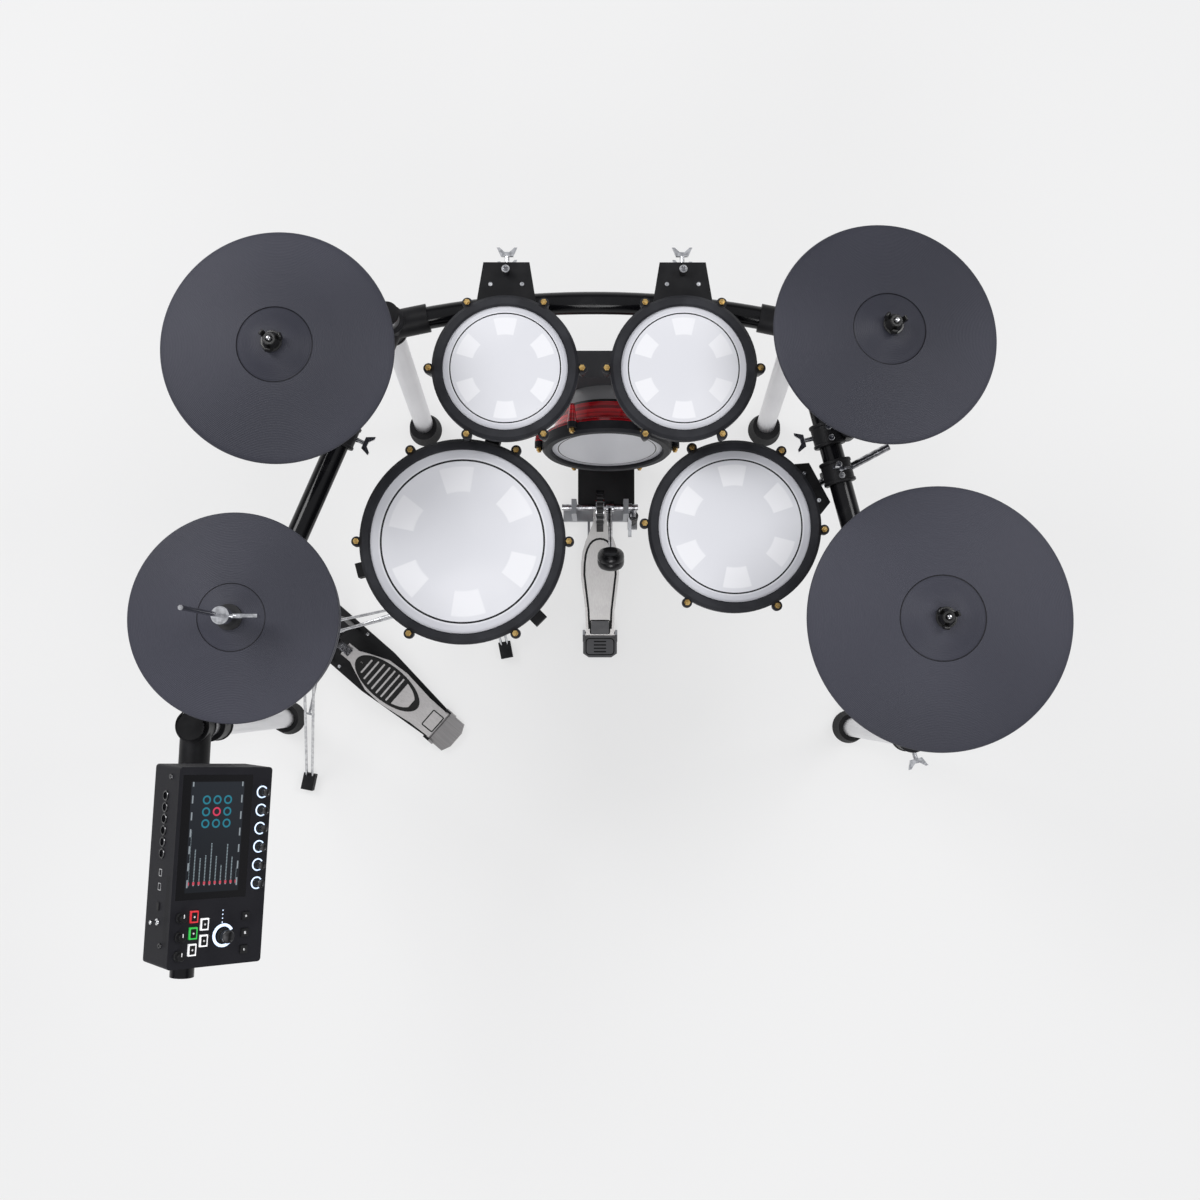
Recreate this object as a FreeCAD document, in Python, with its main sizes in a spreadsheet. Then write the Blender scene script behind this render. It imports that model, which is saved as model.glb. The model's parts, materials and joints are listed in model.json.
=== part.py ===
import FreeCAD, Part
import math
import os
from types import SimpleNamespace

import Sketcher
from FreeCAD import Placement, Rotation, Vector

# Electronic drum kit on a four-post tube rack. Millimetres, +Z up, the drummer sits towards -Y.
# Plan places are measured from the rack's own datum point, which datum_x and datum_y carry to the
# middle of the kit's footprint.
DIMENSIONS = {
    "fit_gap": 0.1, "run_gap": 0.3, "overrun": 2.0, "datum_x": -32.7, "datum_y": 139.36,
    # Rack tubes, posts and feet
    "tube_radius": 19.05, "rack_height": 590.0,
    "left_front_x": -645.0, "left_front_y": -58.0, "right_front_x": 516.0, "right_front_y": -76.0,
    "left_rear_x": -366.0, "right_rear_x": 345.0, "rear_foot_y": 545.0,
    "rear_lean_in": 10.0, "rear_lean_back": 72.0, "rear_bow": 39.0,
    "front_post_rise": 30.0, "rear_post_rise": 50.0, "cap_height": 7.0, "cap_radius": 20.5,
    "foot_radius": 34.0, "foot_top_radius": 28.0, "foot_height": 46.0, "foot_floor": 9.0,
    # Rack clamps and wing bolts
    "collar_wall": 6.5, "socket_wall": 5.2, "collar_length": 56.0, "socket_reach": 66.0,
    "tube_end_gap": 5.0,
    "accessory_length": 40.0, "accessory_pitch": 36.0, "rod_collar_wall": 8.0,
    "bolt_radius": 4.0, "bolt_reach": 14.0, "wing_span": 34.0, "wing_height": 15.0, "wing_thickness": 5.0,
    # Module arm
    "arm_rise": 102.0, "arm_collar_length": 42.0, "arm_end_x": -661.0, "arm_end_y": -452.0,
    # Drum sizes and places
    "snare_radius": 152.4, "snare_depth": 92.0, "snare_x": -227.0, "snare_y": 245.0, "snare_top": 640.0,
    "tom_radius": 101.6, "tom_depth": 72.0, "tom_pitch": 290.0, "tom_middle_x": -9.0, "tom_y": 522.0,
    "tom_rise": 106.0,
    "floor_radius": 127.0, "floor_depth": 82.0, "floor_x": 225.0, "floor_y": 273.0, "floor_rise": 22.0,
    "kick_radius": 101.6, "kick_depth": 98.0, "kick_x": 13.0, "kick_y": 437.0, "kick_height": 370.0,
    # Hoop, head, shell and lug sections
    "hoop_wall": 18.0, "hoop_height": 20.0, "hoop_bevel": 5.0, "head_drop": 6.0, "head_thickness": 1.2,
    "edge_width": 4.0, "flange_width": 17.0, "flange_thickness": 5.0, "shell_wall": 4.0,
    "lug_radius": 8.5, "lug_length": 34.0, "ear_height": 11.0, "rod_radius": 3.0,
    "rod_head_radius": 5.2, "rod_head_height": 6.0, "rod_key_radius": 3.4, "rod_key_height": 3.0,
    "trigger_width": 22.0, "trigger_thickness": 4.0, "cone_radius": 14.0, "cone_tip_radius": 7.0,
    # Tom brackets and L-rods
    "bracket_width": 96.0, "bracket_tail": 76.0, "bracket_height": 34.0, "bracket_reach": 17.0,
    "l_rod_radius": 6.35, "l_rod_foot": 62.0, "l_rod_head": 8.0, "floor_rod_angle": 28.0,
    "floor_rod_radius": 168.0, "floor_rod_end": 305.0,
    # Snare stand
    "stand_tube_radius": 12.7, "basket_drop": 26.0, "basket_arm_radius": 5.0, "basket_hub_radius": 22.0,
    "basket_hub_height": 30.0, "basket_bend": 16.0, "grip_width": 24.0, "grip_depth": 20.0,
    "grip_height": 30.0, "grip_bite": 5.0,
    "snare_leg_radius": 165.0, "snare_leg_hub": 190.0, "leg_bar_radius": 5.5, "leg_foot_radius": 11.0,
    "leg_foot_width": 24.2, "leg_foot_height": 23.8,
    "leg_foot_length": 34.0, "basket_angle": 194.7, "snare_leg_angle": 281.0, "leg_hub_height": 34.0,
    "leg_hub_radius": 21.0, "stand_foot_gap": 60.0,
    # Cymbals, their arms, sleeves and wing nuts
    "crash_radius": 178.0, "ride_radius": 203.0, "cymbal_thickness": 8.0, "cymbal_rise": 34.0,
    "bell_rise": 12.0,
    "sleeve_ball": 8.0, "sleeve_radius": 12.0, "sleeve_length": 14.0, "sleeve_drop": 6.4,
    "stem_radius": 3.9,
    "stem_rise": 30.0, "nut_radius": 11.0, "nut_lift": 8.4, "nut_height": 17.0, "nut_lobe": 16.0,
    "boom_radius": 9.5, "boom_foot": 48.0, "boom_bend": 34.0, "boom_rise": 130.0, "boom_neck": 62.0,
    "right_crash_lean": 8.0,
    "left_crash_x": -489.0, "left_crash_y": 518.0, "left_crash_rise": 288.0, "left_crash_clamp_y": 432.0,
    "right_crash_x": 448.0, "right_crash_y": 557.0, "right_crash_rise": 232.0,
    "right_crash_clamp_y": 430.0,
    "ride_x": 517.0, "ride_y": 108.0, "ride_rise": 256.0, "ride_clamp_y": 20.0,
    # Hi-hat
    "hihat_radius": 156.0, "hihat_x": -540.0, "hihat_y": 106.0, "hihat_height": 905.0,
    "hihat_travel": 25.0,
    "hihat_thickness": 12.0, "hihat_rise": 20.0, "pull_rod_radius": 3.5, "pull_rod_bore": 4.0,
    "pull_rod_top": 1150.0,
    "clutch_radius": 13.0, "clutch_height": 46.0, "clutch_lever": 30.0, "clutch_sleeve": 6.0,
    "felt_radius": 19.0, "felt_height": 7.0,
    "hihat_leg_radius": 300.0, "hihat_leg_hub": 330.0, "hihat_leg_angle": 258.5, "seat_radius": 19.0,
    "seat_height": 10.0, "hihat_tube_foot": 120.0,
    # Hi-hat pedal
    "hihat_pedal_angle": -40.9, "hihat_hinge": 272.0, "hihat_toe": 250.0, "hihat_board_width": 82.0,
    "board_thickness": 6.0, "hihat_board_rise": 17.0, "plate_thickness": 5.0, "plate_lift": 3.0,
    "heel_length": 48.0,
    "heel_width": 70.0, "heel_corner": 8.0, "hihat_plate_width": 104.0, "hinge_height": 17.0,
    "link_width": 16.0,
    "knuckle_radius": 5.0, "knuckle_gap": 0.05, "ear_thickness": 5.0, "ear_length": 24.0, "ear_wall": 3.0,
    # Kick pedal and tower
    "pedal_x": 0.0, "pedal_heel_y": 68.0, "pedal_board": 262.0, "pedal_board_width": 78.0,
    "pedal_board_rise": 14.5,
    "axle_y": 366.0, "axle_height": 128.0, "axle_radius": 6.0, "frame_gap": 84.0, "frame_ends": 34.0,
    "frame_post_width": 20.0, "frame_post_depth": 30.0, "cam_radius": 34.0, "cam_width": 16.0,
    "strap_thickness": 3.0, "beater_x": 20.0,
    "beater_reach": 240.0, "beater_rest": 31.0, "beater_rod_radius": 4.0, "beater_radius": 25.0,
    "beater_width": 44.0,
    "spring_radius": 8.5, "spring_wire": 1.3, "crank_reach": 16.0, "crank_radius": 4.5,
    "tower_width": 118.0, "tower_thickness": 5.0, "tower_shelf": 46.0,
    "tower_leg_radius": 8.0, "tower_boot_radius": 14.3, "tower_leg_reach": 100.0,
    "tower_leg_spread": 110.0, "kick_lean": 9.0,
    # Module
    "module_length": 286.0, "module_width": 150.0, "module_depth": 72.0, "module_x": -550.0,
    "module_y": -255.0,
    "module_rise": 198.0, "module_tilt": 44.0, "module_turn": -2.9, "case_round": 5.0,
    "screen_width": 112.0, "screen_glass": 1.6, "neck_radius": 17.0, "plate_side": 86.0,
    "plate_width": 51.6,
    "encoder_radius": 6.2, "encoder_height": 13.0, "main_radius": 10.5, "main_height": 15.0,
    "pot_radius": 7.0, "pot_height": 13.0, "button_length": 17.0, "button_width": 12.5,
    "button_height": 6.0, "button_proud": 2.4, "small_button": 11.5, "button_travel": 1.5,
    "jack_radius": 5.2,
    "jack_depth": 3.0, "jack_pitch": 16.5,
}

doc = FreeCAD.newDocument("ElectronicDrumKit")
sheet = doc.addObject("Spreadsheet::Sheet", "Dimensions")
for row, (alias, number) in enumerate(DIMENSIONS.items(), start=1):
    sheet.set("A%d" % row, alias)
    sheet.set("B%d" % row, str(number))
    sheet.setAlias("B%d" % row, alias)
doc.recompute()


class Size:
    """A number together with the sheet expression that gives it."""

    def __init__(self, number, text):
        self.number = float(number)
        self.text = text

    def __float__(self):
        return self.number

    def joined(self, sign, other, number):
        text = other.text if isinstance(other, Size) else repr(float(other))
        return Size(number, "(%s %s %s)" % (self.text, sign, text))

    def __add__(self, other):
        return self.joined("+", other, self.number + float(other))

    def __sub__(self, other):
        return self.joined("-", other, self.number - float(other))

    def __mul__(self, other):
        return self.joined("*", other, self.number * float(other))

    def __truediv__(self, other):
        return self.joined("/", other, self.number / float(other))

    def __neg__(self):
        return Size(-self.number, "(0 - %s)" % self.text)

    __radd__ = __add__
    __rmul__ = __mul__


d = SimpleNamespace(**{alias: Size(sheet.get(alias), "Dimensions." + alias) for alias in DIMENSIONS})
UP = Vector(0, 0, 1)

# Heights that follow the rack
arm_height = d.rack_height + d.arm_rise
front_post_top = arm_height + d.front_post_rise
rear_post_top = d.rack_height + d.rear_post_rise
tom_top = d.rack_height + d.tom_rise
floor_top = d.rack_height + d.floor_rise
module_height = arm_height + d.module_rise


def at(x, y, z):
    """A point of the kit from its plan place and height."""
    return Vector(float(x) - float(d.datum_x), float(y) - float(d.datum_y), float(z))


def turn(degrees, axis=UP):
    return Rotation(axis, float(degrees))


def bearing(degrees):
    """A level unit vector, counted anticlockwise from +X."""
    angle = math.radians(float(degrees))
    return Vector(math.cos(angle), math.sin(angle), 0)


def unit(vector):
    return Vector(vector).normalize()


def bind(piece, **sizes):
    for name, size in sizes.items():
        if isinstance(size, Size):
            piece.setExpression(name, size.text)
        else:
            setattr(piece, name, size)
    return piece


# Primitive and boolean shorthands
def rod(name, start, end, radius):
    """A round bar between two points."""
    piece = bind(doc.addObject("Part::Cylinder", name), Radius=radius, Height=(end - start).Length)
    piece.Placement = Placement(start, Rotation(UP, end - start))
    return piece


def cylinder(name, radius, height, place):
    piece = bind(doc.addObject("Part::Cylinder", name), Radius=radius, Height=height)
    piece.Placement = place
    return piece


def cone(name, base, top, height, place):
    piece = bind(doc.addObject("Part::Cone", name), Radius1=base, Radius2=top, Height=height)
    piece.Placement = place
    return piece


def block(name, length, width, height, place):
    """A box that stands on its own middle."""
    piece = bind(doc.addObject("Part::Box", name), Length=length, Width=width, Height=height)
    corner = Vector(-float(length) / 2, -float(width) / 2, 0)
    piece.Placement = place.multiply(Placement(corner, Rotation()))
    return piece


def fuse(name, *pieces):
    piece = doc.addObject("Part::MultiFuse", name)
    piece.Shapes = list(pieces)
    return piece


def cut(name, base, *tools):
    for tool in tools:
        piece = doc.addObject("Part::Cut", name)
        piece.Base = base
        piece.Tool = tool
        base = piece
    return base


def group(name, pieces):
    piece = doc.addObject("Part::Compound", name)
    piece.Links = list(pieces)
    return piece


# Sketched bodies
def outlined(body, name, role, outline):
    """A closed sketch whose corners are bound to the sheet."""
    sketch = body.newObject("Sketcher::SketchObject", name)
    plane = [item for item in body.Origin.OriginFeatures if item.Role == role][0]
    sketch.AttachmentSupport = (plane, [""])
    sketch.MapMode = "FlatFace"
    corners = [Vector(float(x), float(y), 0) for x, y in outline]
    count = len(corners)
    for index in range(count):
        sketch.addGeometry(Part.LineSegment(corners[index], corners[(index + 1) % count]), False)
    for index in range(count):
        sketch.addConstraint(Sketcher.Constraint("Coincident", index, 2, (index + 1) % count, 1))
    for index, corner in enumerate(outline):
        for kind, value in zip(("DistanceX", "DistanceY"), corner):
            number = sketch.addConstraint(Sketcher.Constraint(kind, -1, 1, index, 1, float(value)))
            if isinstance(value, Size):
                sketch.renameConstraint(number, "%s_%d" % (kind, index))
                sketch.setExpression("Constraints.%s_%d" % (kind, index), value.text)
    return sketch


def turned(name, outline, place):
    """A body of revolution from an outline of radii and heights."""
    body = doc.addObject("PartDesign::Body", name)
    sketch = outlined(body, name + "_outline", "XZ_Plane", outline)
    spin = body.newObject("PartDesign::Revolution", name + "_spin")
    spin.Profile = sketch
    spin.ReferenceAxis = (sketch, ["V_Axis"])
    spin.Angle = 360
    body.Placement = place
    return body


def padded(name, outline, height, place):
    """A plate with the given outline, standing on its own plane."""
    body = doc.addObject("PartDesign::Body", name)
    sketch = outlined(body, name + "_outline", "XY_Plane", outline)
    pad = body.newObject("PartDesign::Pad", name + "_pad")
    pad.Profile = sketch
    bind(pad, Length=height)
    body.Placement = place
    return body


def bent_rod(name, points, radius, bend):
    """A round bar along straight runs with tangent bends."""
    edges = []
    start = points[0]
    for before, corner, after in zip(points, points[1:], points[2:]):
        back = unit(before - corner)
        ahead = unit(after - corner)
        half = back.getAngle(ahead) / 2
        reach = float(bend) / math.tan(half)
        middle = corner + unit(back + ahead) * (float(bend) / math.sin(half) - float(bend))
        edges.append(Part.LineSegment(start, corner + back * reach).toShape())
        edges.append(Part.Arc(corner + back * reach, middle, corner + ahead * reach).toShape())
        start = corner + ahead * reach
    edges.append(Part.LineSegment(start, points[-1]).toShape())
    section = Part.Wire(Part.Circle(points[0], points[1] - points[0], float(radius)).toShape())
    piece = doc.addObject("Part::Feature", name)
    piece.Shape = Part.Wire(edges).makePipeShell([section], True, False)
    return piece


NODES = {}


def node(name, piece):
    """Name a finished sub-part."""
    piece.Label = name
    NODES[name] = piece
    return piece


# Rack posts. The rear pair leans back and a little inwards; rubber feet and plastic caps close the ends.
def post_line(x, y, lean_x, lean_y):
    """A post's foot point and its travel for each millimetre of height."""
    rise = Vector(float(lean_x), float(lean_y), float(d.rack_height))
    return at(x, y, 0), rise / float(d.rack_height)


def along(line, height):
    return line[0] + line[1] * float(height)


POSTS = {
    "left_front": (post_line(d.left_front_x, d.left_front_y, 0, 0), front_post_top),
    "right_front": (post_line(d.right_front_x, d.right_front_y, 0, 0), front_post_top),
    "left_rear": (
        post_line(d.left_rear_x, d.rear_foot_y, d.rear_lean_in, d.rear_lean_back), rear_post_top),
    "right_rear": (
        post_line(d.right_rear_x, d.rear_foot_y, -d.rear_lean_in, d.rear_lean_back), rear_post_top),
}
posts, feet, caps = [], [], []
for place, (line, top) in POSTS.items():
    posts.append(rod(place + "_post", along(line, d.foot_floor), along(line, top), d.tube_radius))
    sole = cone(place + "_sole", d.foot_radius, d.foot_top_radius, d.foot_height,
                Placement(line[0], Rotation()))
    well_foot = along(line, d.foot_floor - d.fit_gap)
    well_mouth = along(line, d.foot_height + d.tube_radius)
    well = rod(place + "_well", well_foot, well_mouth, d.tube_radius + d.fit_gap)
    feet.append(cut(place + "_foot", sole, well))
    cap_foot = along(line, top + d.fit_gap)
    caps.append(rod(place + "_cap", cap_foot, along(line, top + d.cap_height), d.cap_radius))
node("rack_posts", group("posts", posts))

# Rack tubes. The rear tube is an arc; the side tubes run straight from rear to front.
corner = {place: along(line, d.rack_height) for place, (line, top) in POSTS.items()}
half_chord = (d.right_rear_x - d.left_rear_x) / 2 - d.rear_lean_in
bow_radius = (half_chord * half_chord + d.rear_bow * d.rear_bow) / (d.rear_bow * 2)
bow_half = math.degrees(math.asin(float(half_chord) / float(bow_radius)))
bow_centre = (corner["left_rear"] + corner["right_rear"]) / 2 + Vector(0, float(d.rear_bow - bow_radius), 0)
end_turn = math.degrees(float(d.tube_radius + d.tube_end_gap) / float(bow_radius))


def between(name, start, end, start_gap, end_gap):
    """A rack tube between two post or clamp centres."""
    run = unit(end - start)
    return rod(name, start + run * float(start_gap), end - run * float(end_gap), d.tube_radius)


tube_gap = d.tube_radius + d.tube_end_gap
rear_tube = bind(doc.addObject("Part::Torus", "rear_bow_tube"), Radius1=bow_radius, Radius2=d.tube_radius,
                 Angle3=2 * (bow_half - end_turn))
rear_tube.Placement = Placement(bow_centre, turn(90 - bow_half + end_turn))
node("rear_tube", rear_tube)
node("left_tube", between("left_side", corner["left_rear"], corner["left_front"], tube_gap, tube_gap))
node("right_tube", between("right_side", corner["right_rear"], corner["right_front"], tube_gap, tube_gap))
arm_start = along(POSTS["left_front"][0], arm_height)
arm_end = at(d.arm_end_x, d.arm_end_y, arm_height)
node("module_arm_tube", between("module_arm", arm_start, arm_end, tube_gap, 0))

# Clamps: each is a split collar round the post with a socket for every tube that meets it.
collar = d.tube_radius + d.collar_wall
bore = d.tube_radius + d.fit_gap
bow_bore = bore + d.run_gap
wing_bolts, clamps = [], []
WING_SHARES = ((-0.3, 0), (0.3, 0), (0.5, 1), (0.36, 1), (0.12, 0.5), (-0.12, 0.5), (-0.36, 1), (-0.5, 1))


def wing_bolt(name, seat, direction):
    """A clamp screw: a round shank that starts at its seat, with a flat two-winged head."""
    lie = Rotation(Vector(0, 1, 0), direction)
    shank = rod(name + "_shank", seat, seat + direction * float(d.bolt_reach), d.bolt_radius)
    outline = [(d.wing_span * x, d.wing_height * y) for x, y in WING_SHARES]
    lift = lie.multVec(Vector(0, float(d.bolt_reach - d.fit_gap), -float(d.wing_thickness) / 2))
    wings = padded(name + "_wings", outline, d.wing_thickness, Placement(seat + lift, lie))
    wing_bolts.append(fuse(name, shank, wings))


def sleeve_round(name, middle, direction, length, radius):
    """A collar of the given length, centred on a point of its tube."""
    half = direction * (float(length) / 2)
    return rod(name, middle - half, middle + half, radius)


def post_clamp(name, place, height, length, runs, rear):
    """A clamp on a post with a socket along each direction in runs."""
    line = POSTS[place][0]
    middle = along(line, height)
    axis = unit(line[1])
    bodies = [sleeve_round(name + "_collar", middle, axis, length, collar)]
    holes = [sleeve_round(name + "_bore", middle, axis, length + collar * 2, bore + d.fit_gap / 2)]
    for index, run in enumerate(runs):
        end = middle + run * float(d.socket_reach)
        socket = d.tube_radius + d.socket_wall - d.run_gap * (2 * index)
        bodies.append(rod("%s_socket_%d" % (name, index), middle, end, socket))
        hole = bow_bore if rear and index == 0 else bore
        holes.append(rod("%s_socket_bore_%d" % (name, index), middle, end + run * float(d.overrun), hole))
    clamps.append(cut(name, fuse(name + "_solid", *bodies), *holes))
    outward = unit(runs[0] + (runs[1] if len(runs) > 1 else runs[0])) * -1
    outward = unit(outward - axis * outward.dot(axis))
    wing_bolt(name + "_bolt", middle + outward * float(collar + d.fit_gap), outward)


left_run = unit(corner["left_front"] - corner["left_rear"])
right_run = unit(corner["right_front"] - corner["right_rear"])
bow_run = bearing(bow_half - math.degrees(float(d.socket_reach) / float(bow_radius)) / 2)
post_clamp("left_rear_clamp", "left_rear", d.rack_height, d.collar_length, [bow_run, left_run], True)
bow_back = Vector(-bow_run.x, bow_run.y, 0)
post_clamp("right_rear_clamp", "right_rear", d.rack_height, d.collar_length, [bow_back, right_run], True)
post_clamp("left_front_clamp", "left_front", d.rack_height, d.collar_length, [left_run * -1], False)
post_clamp("right_front_clamp", "right_front", d.rack_height, d.collar_length, [right_run * -1], False)
arm_run = unit(arm_end - arm_start)
post_clamp("arm_clamp", "left_front", arm_height, d.arm_collar_length, [arm_run], False)


def accessory_clamp(name, middle, run, rod_middle, rod_run, rod_radius, bow=False):
    """A clamp that hangs a rod beside a rack tube: two collars that grow into each other."""
    rod_collar = rod_radius + d.rod_collar_wall
    solid = fuse(name + "_solid", sleeve_round(name + "_collar", middle, run, d.accessory_length, collar),
                 sleeve_round(name + "_rod_collar", rod_middle, rod_run, d.accessory_length, rod_collar))
    long = d.accessory_length + d.overrun * 2
    tube_bore = sleeve_round(name + "_bore", middle, run, long, bow_bore if bow else bore)
    rod_bore = sleeve_round(name + "_rod_bore", rod_middle, rod_run, long, rod_radius + d.fit_gap)
    clamps.append(cut(name, solid, tube_bore, rod_bore))
    outward = unit(middle - rod_middle)
    wing_bolt(name + "_tube_bolt", middle + outward * float(collar + d.fit_gap), outward)
    wing_bolt(name + "_rod_bolt", rod_middle - outward * float(rod_collar + d.fit_gap), outward * -1)


# Drums. Each is built round its own axis with the hoop's top at zero: a dish-shaped shell with a
# bearing edge, a rubber-covered hoop with ears, a mesh head, tension rods and a trigger bar inside.
BOLTS = 6
SHELL_FOOT_SHARE = 0.84
hoops, heads, rods, triggers, brackets, l_rods = [], [], [], [], [], []
head_under = d.head_drop + d.head_thickness
flange_top = d.hoop_height + d.fit_gap
flange_under = flange_top + d.flange_thickness


def shell_outer(radius, depth, gap):
    """The shell's outside from its flange down to its floor, grown by gap."""
    rim = radius + d.flange_width + gap
    neck = -flange_under - d.flange_width / 2 - gap
    return [(rim, -flange_top + gap), (rim, -flange_under - gap), (radius + gap, neck),
            (radius * SHELL_FOOT_SHARE + gap, -depth - gap)]


def drum(name, radius, depth, place, first_bolt):
    """A complete drum; returns its shell."""
    inner = radius - d.edge_width
    floor_radius = radius * SHELL_FOOT_SHARE - d.shell_wall
    edge_top = -head_under - d.fit_gap
    outline = [(inner, edge_top), (radius, edge_top), (radius, -flange_top)] + shell_outer(radius, depth, 0)
    outline += [(0, -depth), (0, -depth + d.shell_wall), (floor_radius, -depth + d.shell_wall)]
    outline += [(inner, -flange_under - d.flange_width / 2)]
    shell = turned(name + "_dish", outline, Placement())
    hoop_outer = radius + d.hoop_wall
    hoop_inner = radius + d.fit_gap * 2
    ring = turned(name + "_ring", [
        (hoop_inner, -d.hoop_height), (hoop_outer, -d.hoop_height), (hoop_outer, -d.hoop_bevel),
        (hoop_outer - d.hoop_bevel, 0), (hoop_inner + d.hoop_bevel / 2, 0),
        (hoop_inner, -d.hoop_bevel / 2)], Placement())
    head_edge = radius + d.fit_gap
    heads.append(turned(name + "_head", [
        (0, -head_under), (head_edge, -head_under), (head_edge, -d.head_drop), (0, -d.head_drop)], place))
    bolt_radius = float(hoop_outer + d.rod_head_radius + d.fit_gap)
    lugs, ears, holes = [], [], []
    for index in range(BOLTS):
        out = bearing(first_bolt + 360 / BOLTS * index) * bolt_radius
        tag = "%s_%d" % (name, index)
        lug_foot = Placement(out - UP * float(flange_top + d.lug_length), Rotation())
        lugs.append(cone(tag + "_lug", d.lug_radius / 2, d.lug_radius, d.lug_length, lug_foot))
        ear_foot = Placement(out - UP * float(d.hoop_height), Rotation())
        ears.append(cylinder(tag + "_ear", d.lug_radius, d.ear_height, ear_foot))
        lowest = out - UP * float(flange_top + d.lug_length)
        holes.append(rod(tag + "_hole", lowest - UP * float(d.overrun), out + UP * float(d.overrun),
                         d.rod_radius + d.fit_gap))
        seat = out - UP * float(d.hoop_height - d.ear_height - d.fit_gap)
        shank = rod(tag + "_shank", lowest, seat, d.rod_radius)
        cap = bind(doc.addObject("Part::Prism", tag + "_cap"), Polygon=BOLTS, Circumradius=d.rod_head_radius,
                   Height=d.rod_head_height)
        cap.Placement = Placement(seat, Rotation())
        key = bind(doc.addObject("Part::Prism", tag + "_key"), Polygon=4, Circumradius=d.rod_key_radius,
                   Height=d.rod_key_height)
        key.Placement = Placement(seat + UP * float(d.rod_head_height), Rotation())
        screw = fuse(tag + "_rod", shank, cap, key)
        screw.Placement = place
        rods.append(screw)
    bolt_holes = group(name + "_holes", holes)
    lugged = cut(name + "_shell_cut", fuse(name + "_shell_solid", shell, *lugs), bolt_holes)
    lugged.Placement = place
    hoop = cut(name + "_hoop", fuse(name + "_hoop_solid", ring, *ears), bolt_holes)
    hoop.Placement = place
    hoops.append(hoop)
    bar_half = math.sqrt(float(inner - d.fit_gap * 2) ** 2 - float(d.trigger_width / 2) ** 2)
    bar_top = float(flange_under)
    bar = block(name + "_bar", 2 * bar_half, d.trigger_width, d.trigger_thickness,
                Placement(UP * -(bar_top + float(d.trigger_thickness)), Rotation()))
    foam = cone(name + "_foam", d.cone_radius, d.cone_tip_radius, flange_under - head_under - d.run_gap,
                Placement(UP * -bar_top, Rotation()))
    trigger = fuse(name + "_trigger", bar, foam)
    trigger.Placement = place
    triggers.append(trigger)
    node(name + "_shell", lugged)
    return lugged


def bracket(name, radius, depth, place, angle, reach, drop, height, hole):
    """A tapered block that grips the shell's side and carries the drum on a rod."""
    near = radius * SHELL_FOOT_SHARE
    rim = radius + d.hoop_wall
    outline = [(near, d.bracket_width / -2), (rim, d.bracket_width / -2), (reach, d.bracket_tail / -2),
               (reach, d.bracket_tail / 2), (rim, d.bracket_width / 2), (near, d.bracket_width / 2)]
    spot = Placement(UP * -float(drop + height), turn(angle))
    solid = padded(name + "_block", outline, height, spot)
    outer = shell_outer(radius, depth, d.fit_gap)
    core = turned(name + "_core", [(0, outer[0][1])] + outer + [(0, outer[-1][1])], Placement())
    piece = cut(name, solid, core, hole)
    piece.Placement = place
    brackets.append(piece)


snare_place = Placement(at(d.snare_x, d.snare_y, d.snare_top), Rotation())
drum("snare", d.snare_radius, d.snare_depth, snare_place, 0)

# Rack toms hang on upright rods behind the rear tube.
for side, name in ((-1, "left_tom"), (1, "right_tom")):
    centre = at(d.tom_middle_x + d.tom_pitch * (side / 2), d.tom_y, tom_top)
    place = Placement(centre, Rotation())
    drum(name, d.tom_radius, d.tom_depth, place, 0)
    ring = float(bow_radius + d.accessory_pitch)
    spread = math.asin((centre.x - bow_centre.x) / ring)
    out = Vector(math.sin(spread), math.cos(spread), 0)
    hanger = bow_centre + out * ring
    grip = bow_centre + out * float(bow_radius)
    low = hanger - UP * float(d.l_rod_foot)
    high = Vector(hanger.x, hanger.y, float(tom_top - d.l_rod_head))
    l_rods.append(rod(name + "_l_rod", low, high, d.l_rod_radius))
    bore_top = high - centre + UP * float(d.overrun)
    hole = rod(name + "_l_bore", low - centre, bore_top, d.l_rod_radius + d.fit_gap)
    accessory_clamp(name + "_clamp", grip, Vector(out.y, -out.x, 0), hanger, UP, d.l_rod_radius, True)
    rod_reach = Size(hanger.y - centre.y, repr(hanger.y - centre.y))
    bracket(name + "_bracket", d.tom_radius, d.tom_depth, place, 90, rod_reach + d.bracket_reach,
            flange_under + d.run_gap * 2, d.bracket_height, hole)
    wing_bolt(name + "_bracket_bolt", Vector(hanger.x, hanger.y + float(d.bracket_reach + d.fit_gap),
              centre.z - float(flange_under + d.bracket_height / 2)), Vector(0, 1, 0))

# The floor tom hangs on a level rod under the right side tube.
floor_centre = at(d.floor_x, d.floor_y, floor_top)
floor_place = Placement(floor_centre, Rotation())
drum("floor_tom", d.floor_radius, d.floor_depth, floor_place, d.floor_rod_angle.number - 180 / BOLTS)
rod_out = bearing(d.floor_rod_angle)
rod_drop = floor_top - d.rack_height + d.accessory_pitch
rod_base = Vector(0, 0, -float(rod_drop))
inner_end = rod_base + rod_out * float(d.floor_radius + d.hoop_wall)
outer_end = rod_base + rod_out * float(d.floor_rod_end)
l_rods.append(rod("floor_l_rod", floor_centre + inner_end, floor_centre + outer_end, d.l_rod_radius))
hole = rod("floor_l_bore", inner_end - rod_out * float(d.fit_gap), outer_end, d.l_rod_radius + d.fit_gap)
bracket("floor_bracket", d.floor_radius, d.floor_depth, floor_place, d.floor_rod_angle, d.floor_rod_radius,
        rod_drop - d.bracket_height / 2, d.bracket_height, hole)
gap = corner["right_rear"] - floor_centre
run_share = (gap.y * rod_out.x - gap.x * rod_out.y) / (right_run.x * rod_out.y - right_run.y * rod_out.x)
cross = gap + right_run * run_share
grip = floor_centre + Vector(cross.x, cross.y, float(d.rack_height - floor_top))
accessory_clamp("floor_clamp", grip, right_run, grip - UP * float(d.accessory_pitch), rod_out, d.l_rod_radius)

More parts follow.
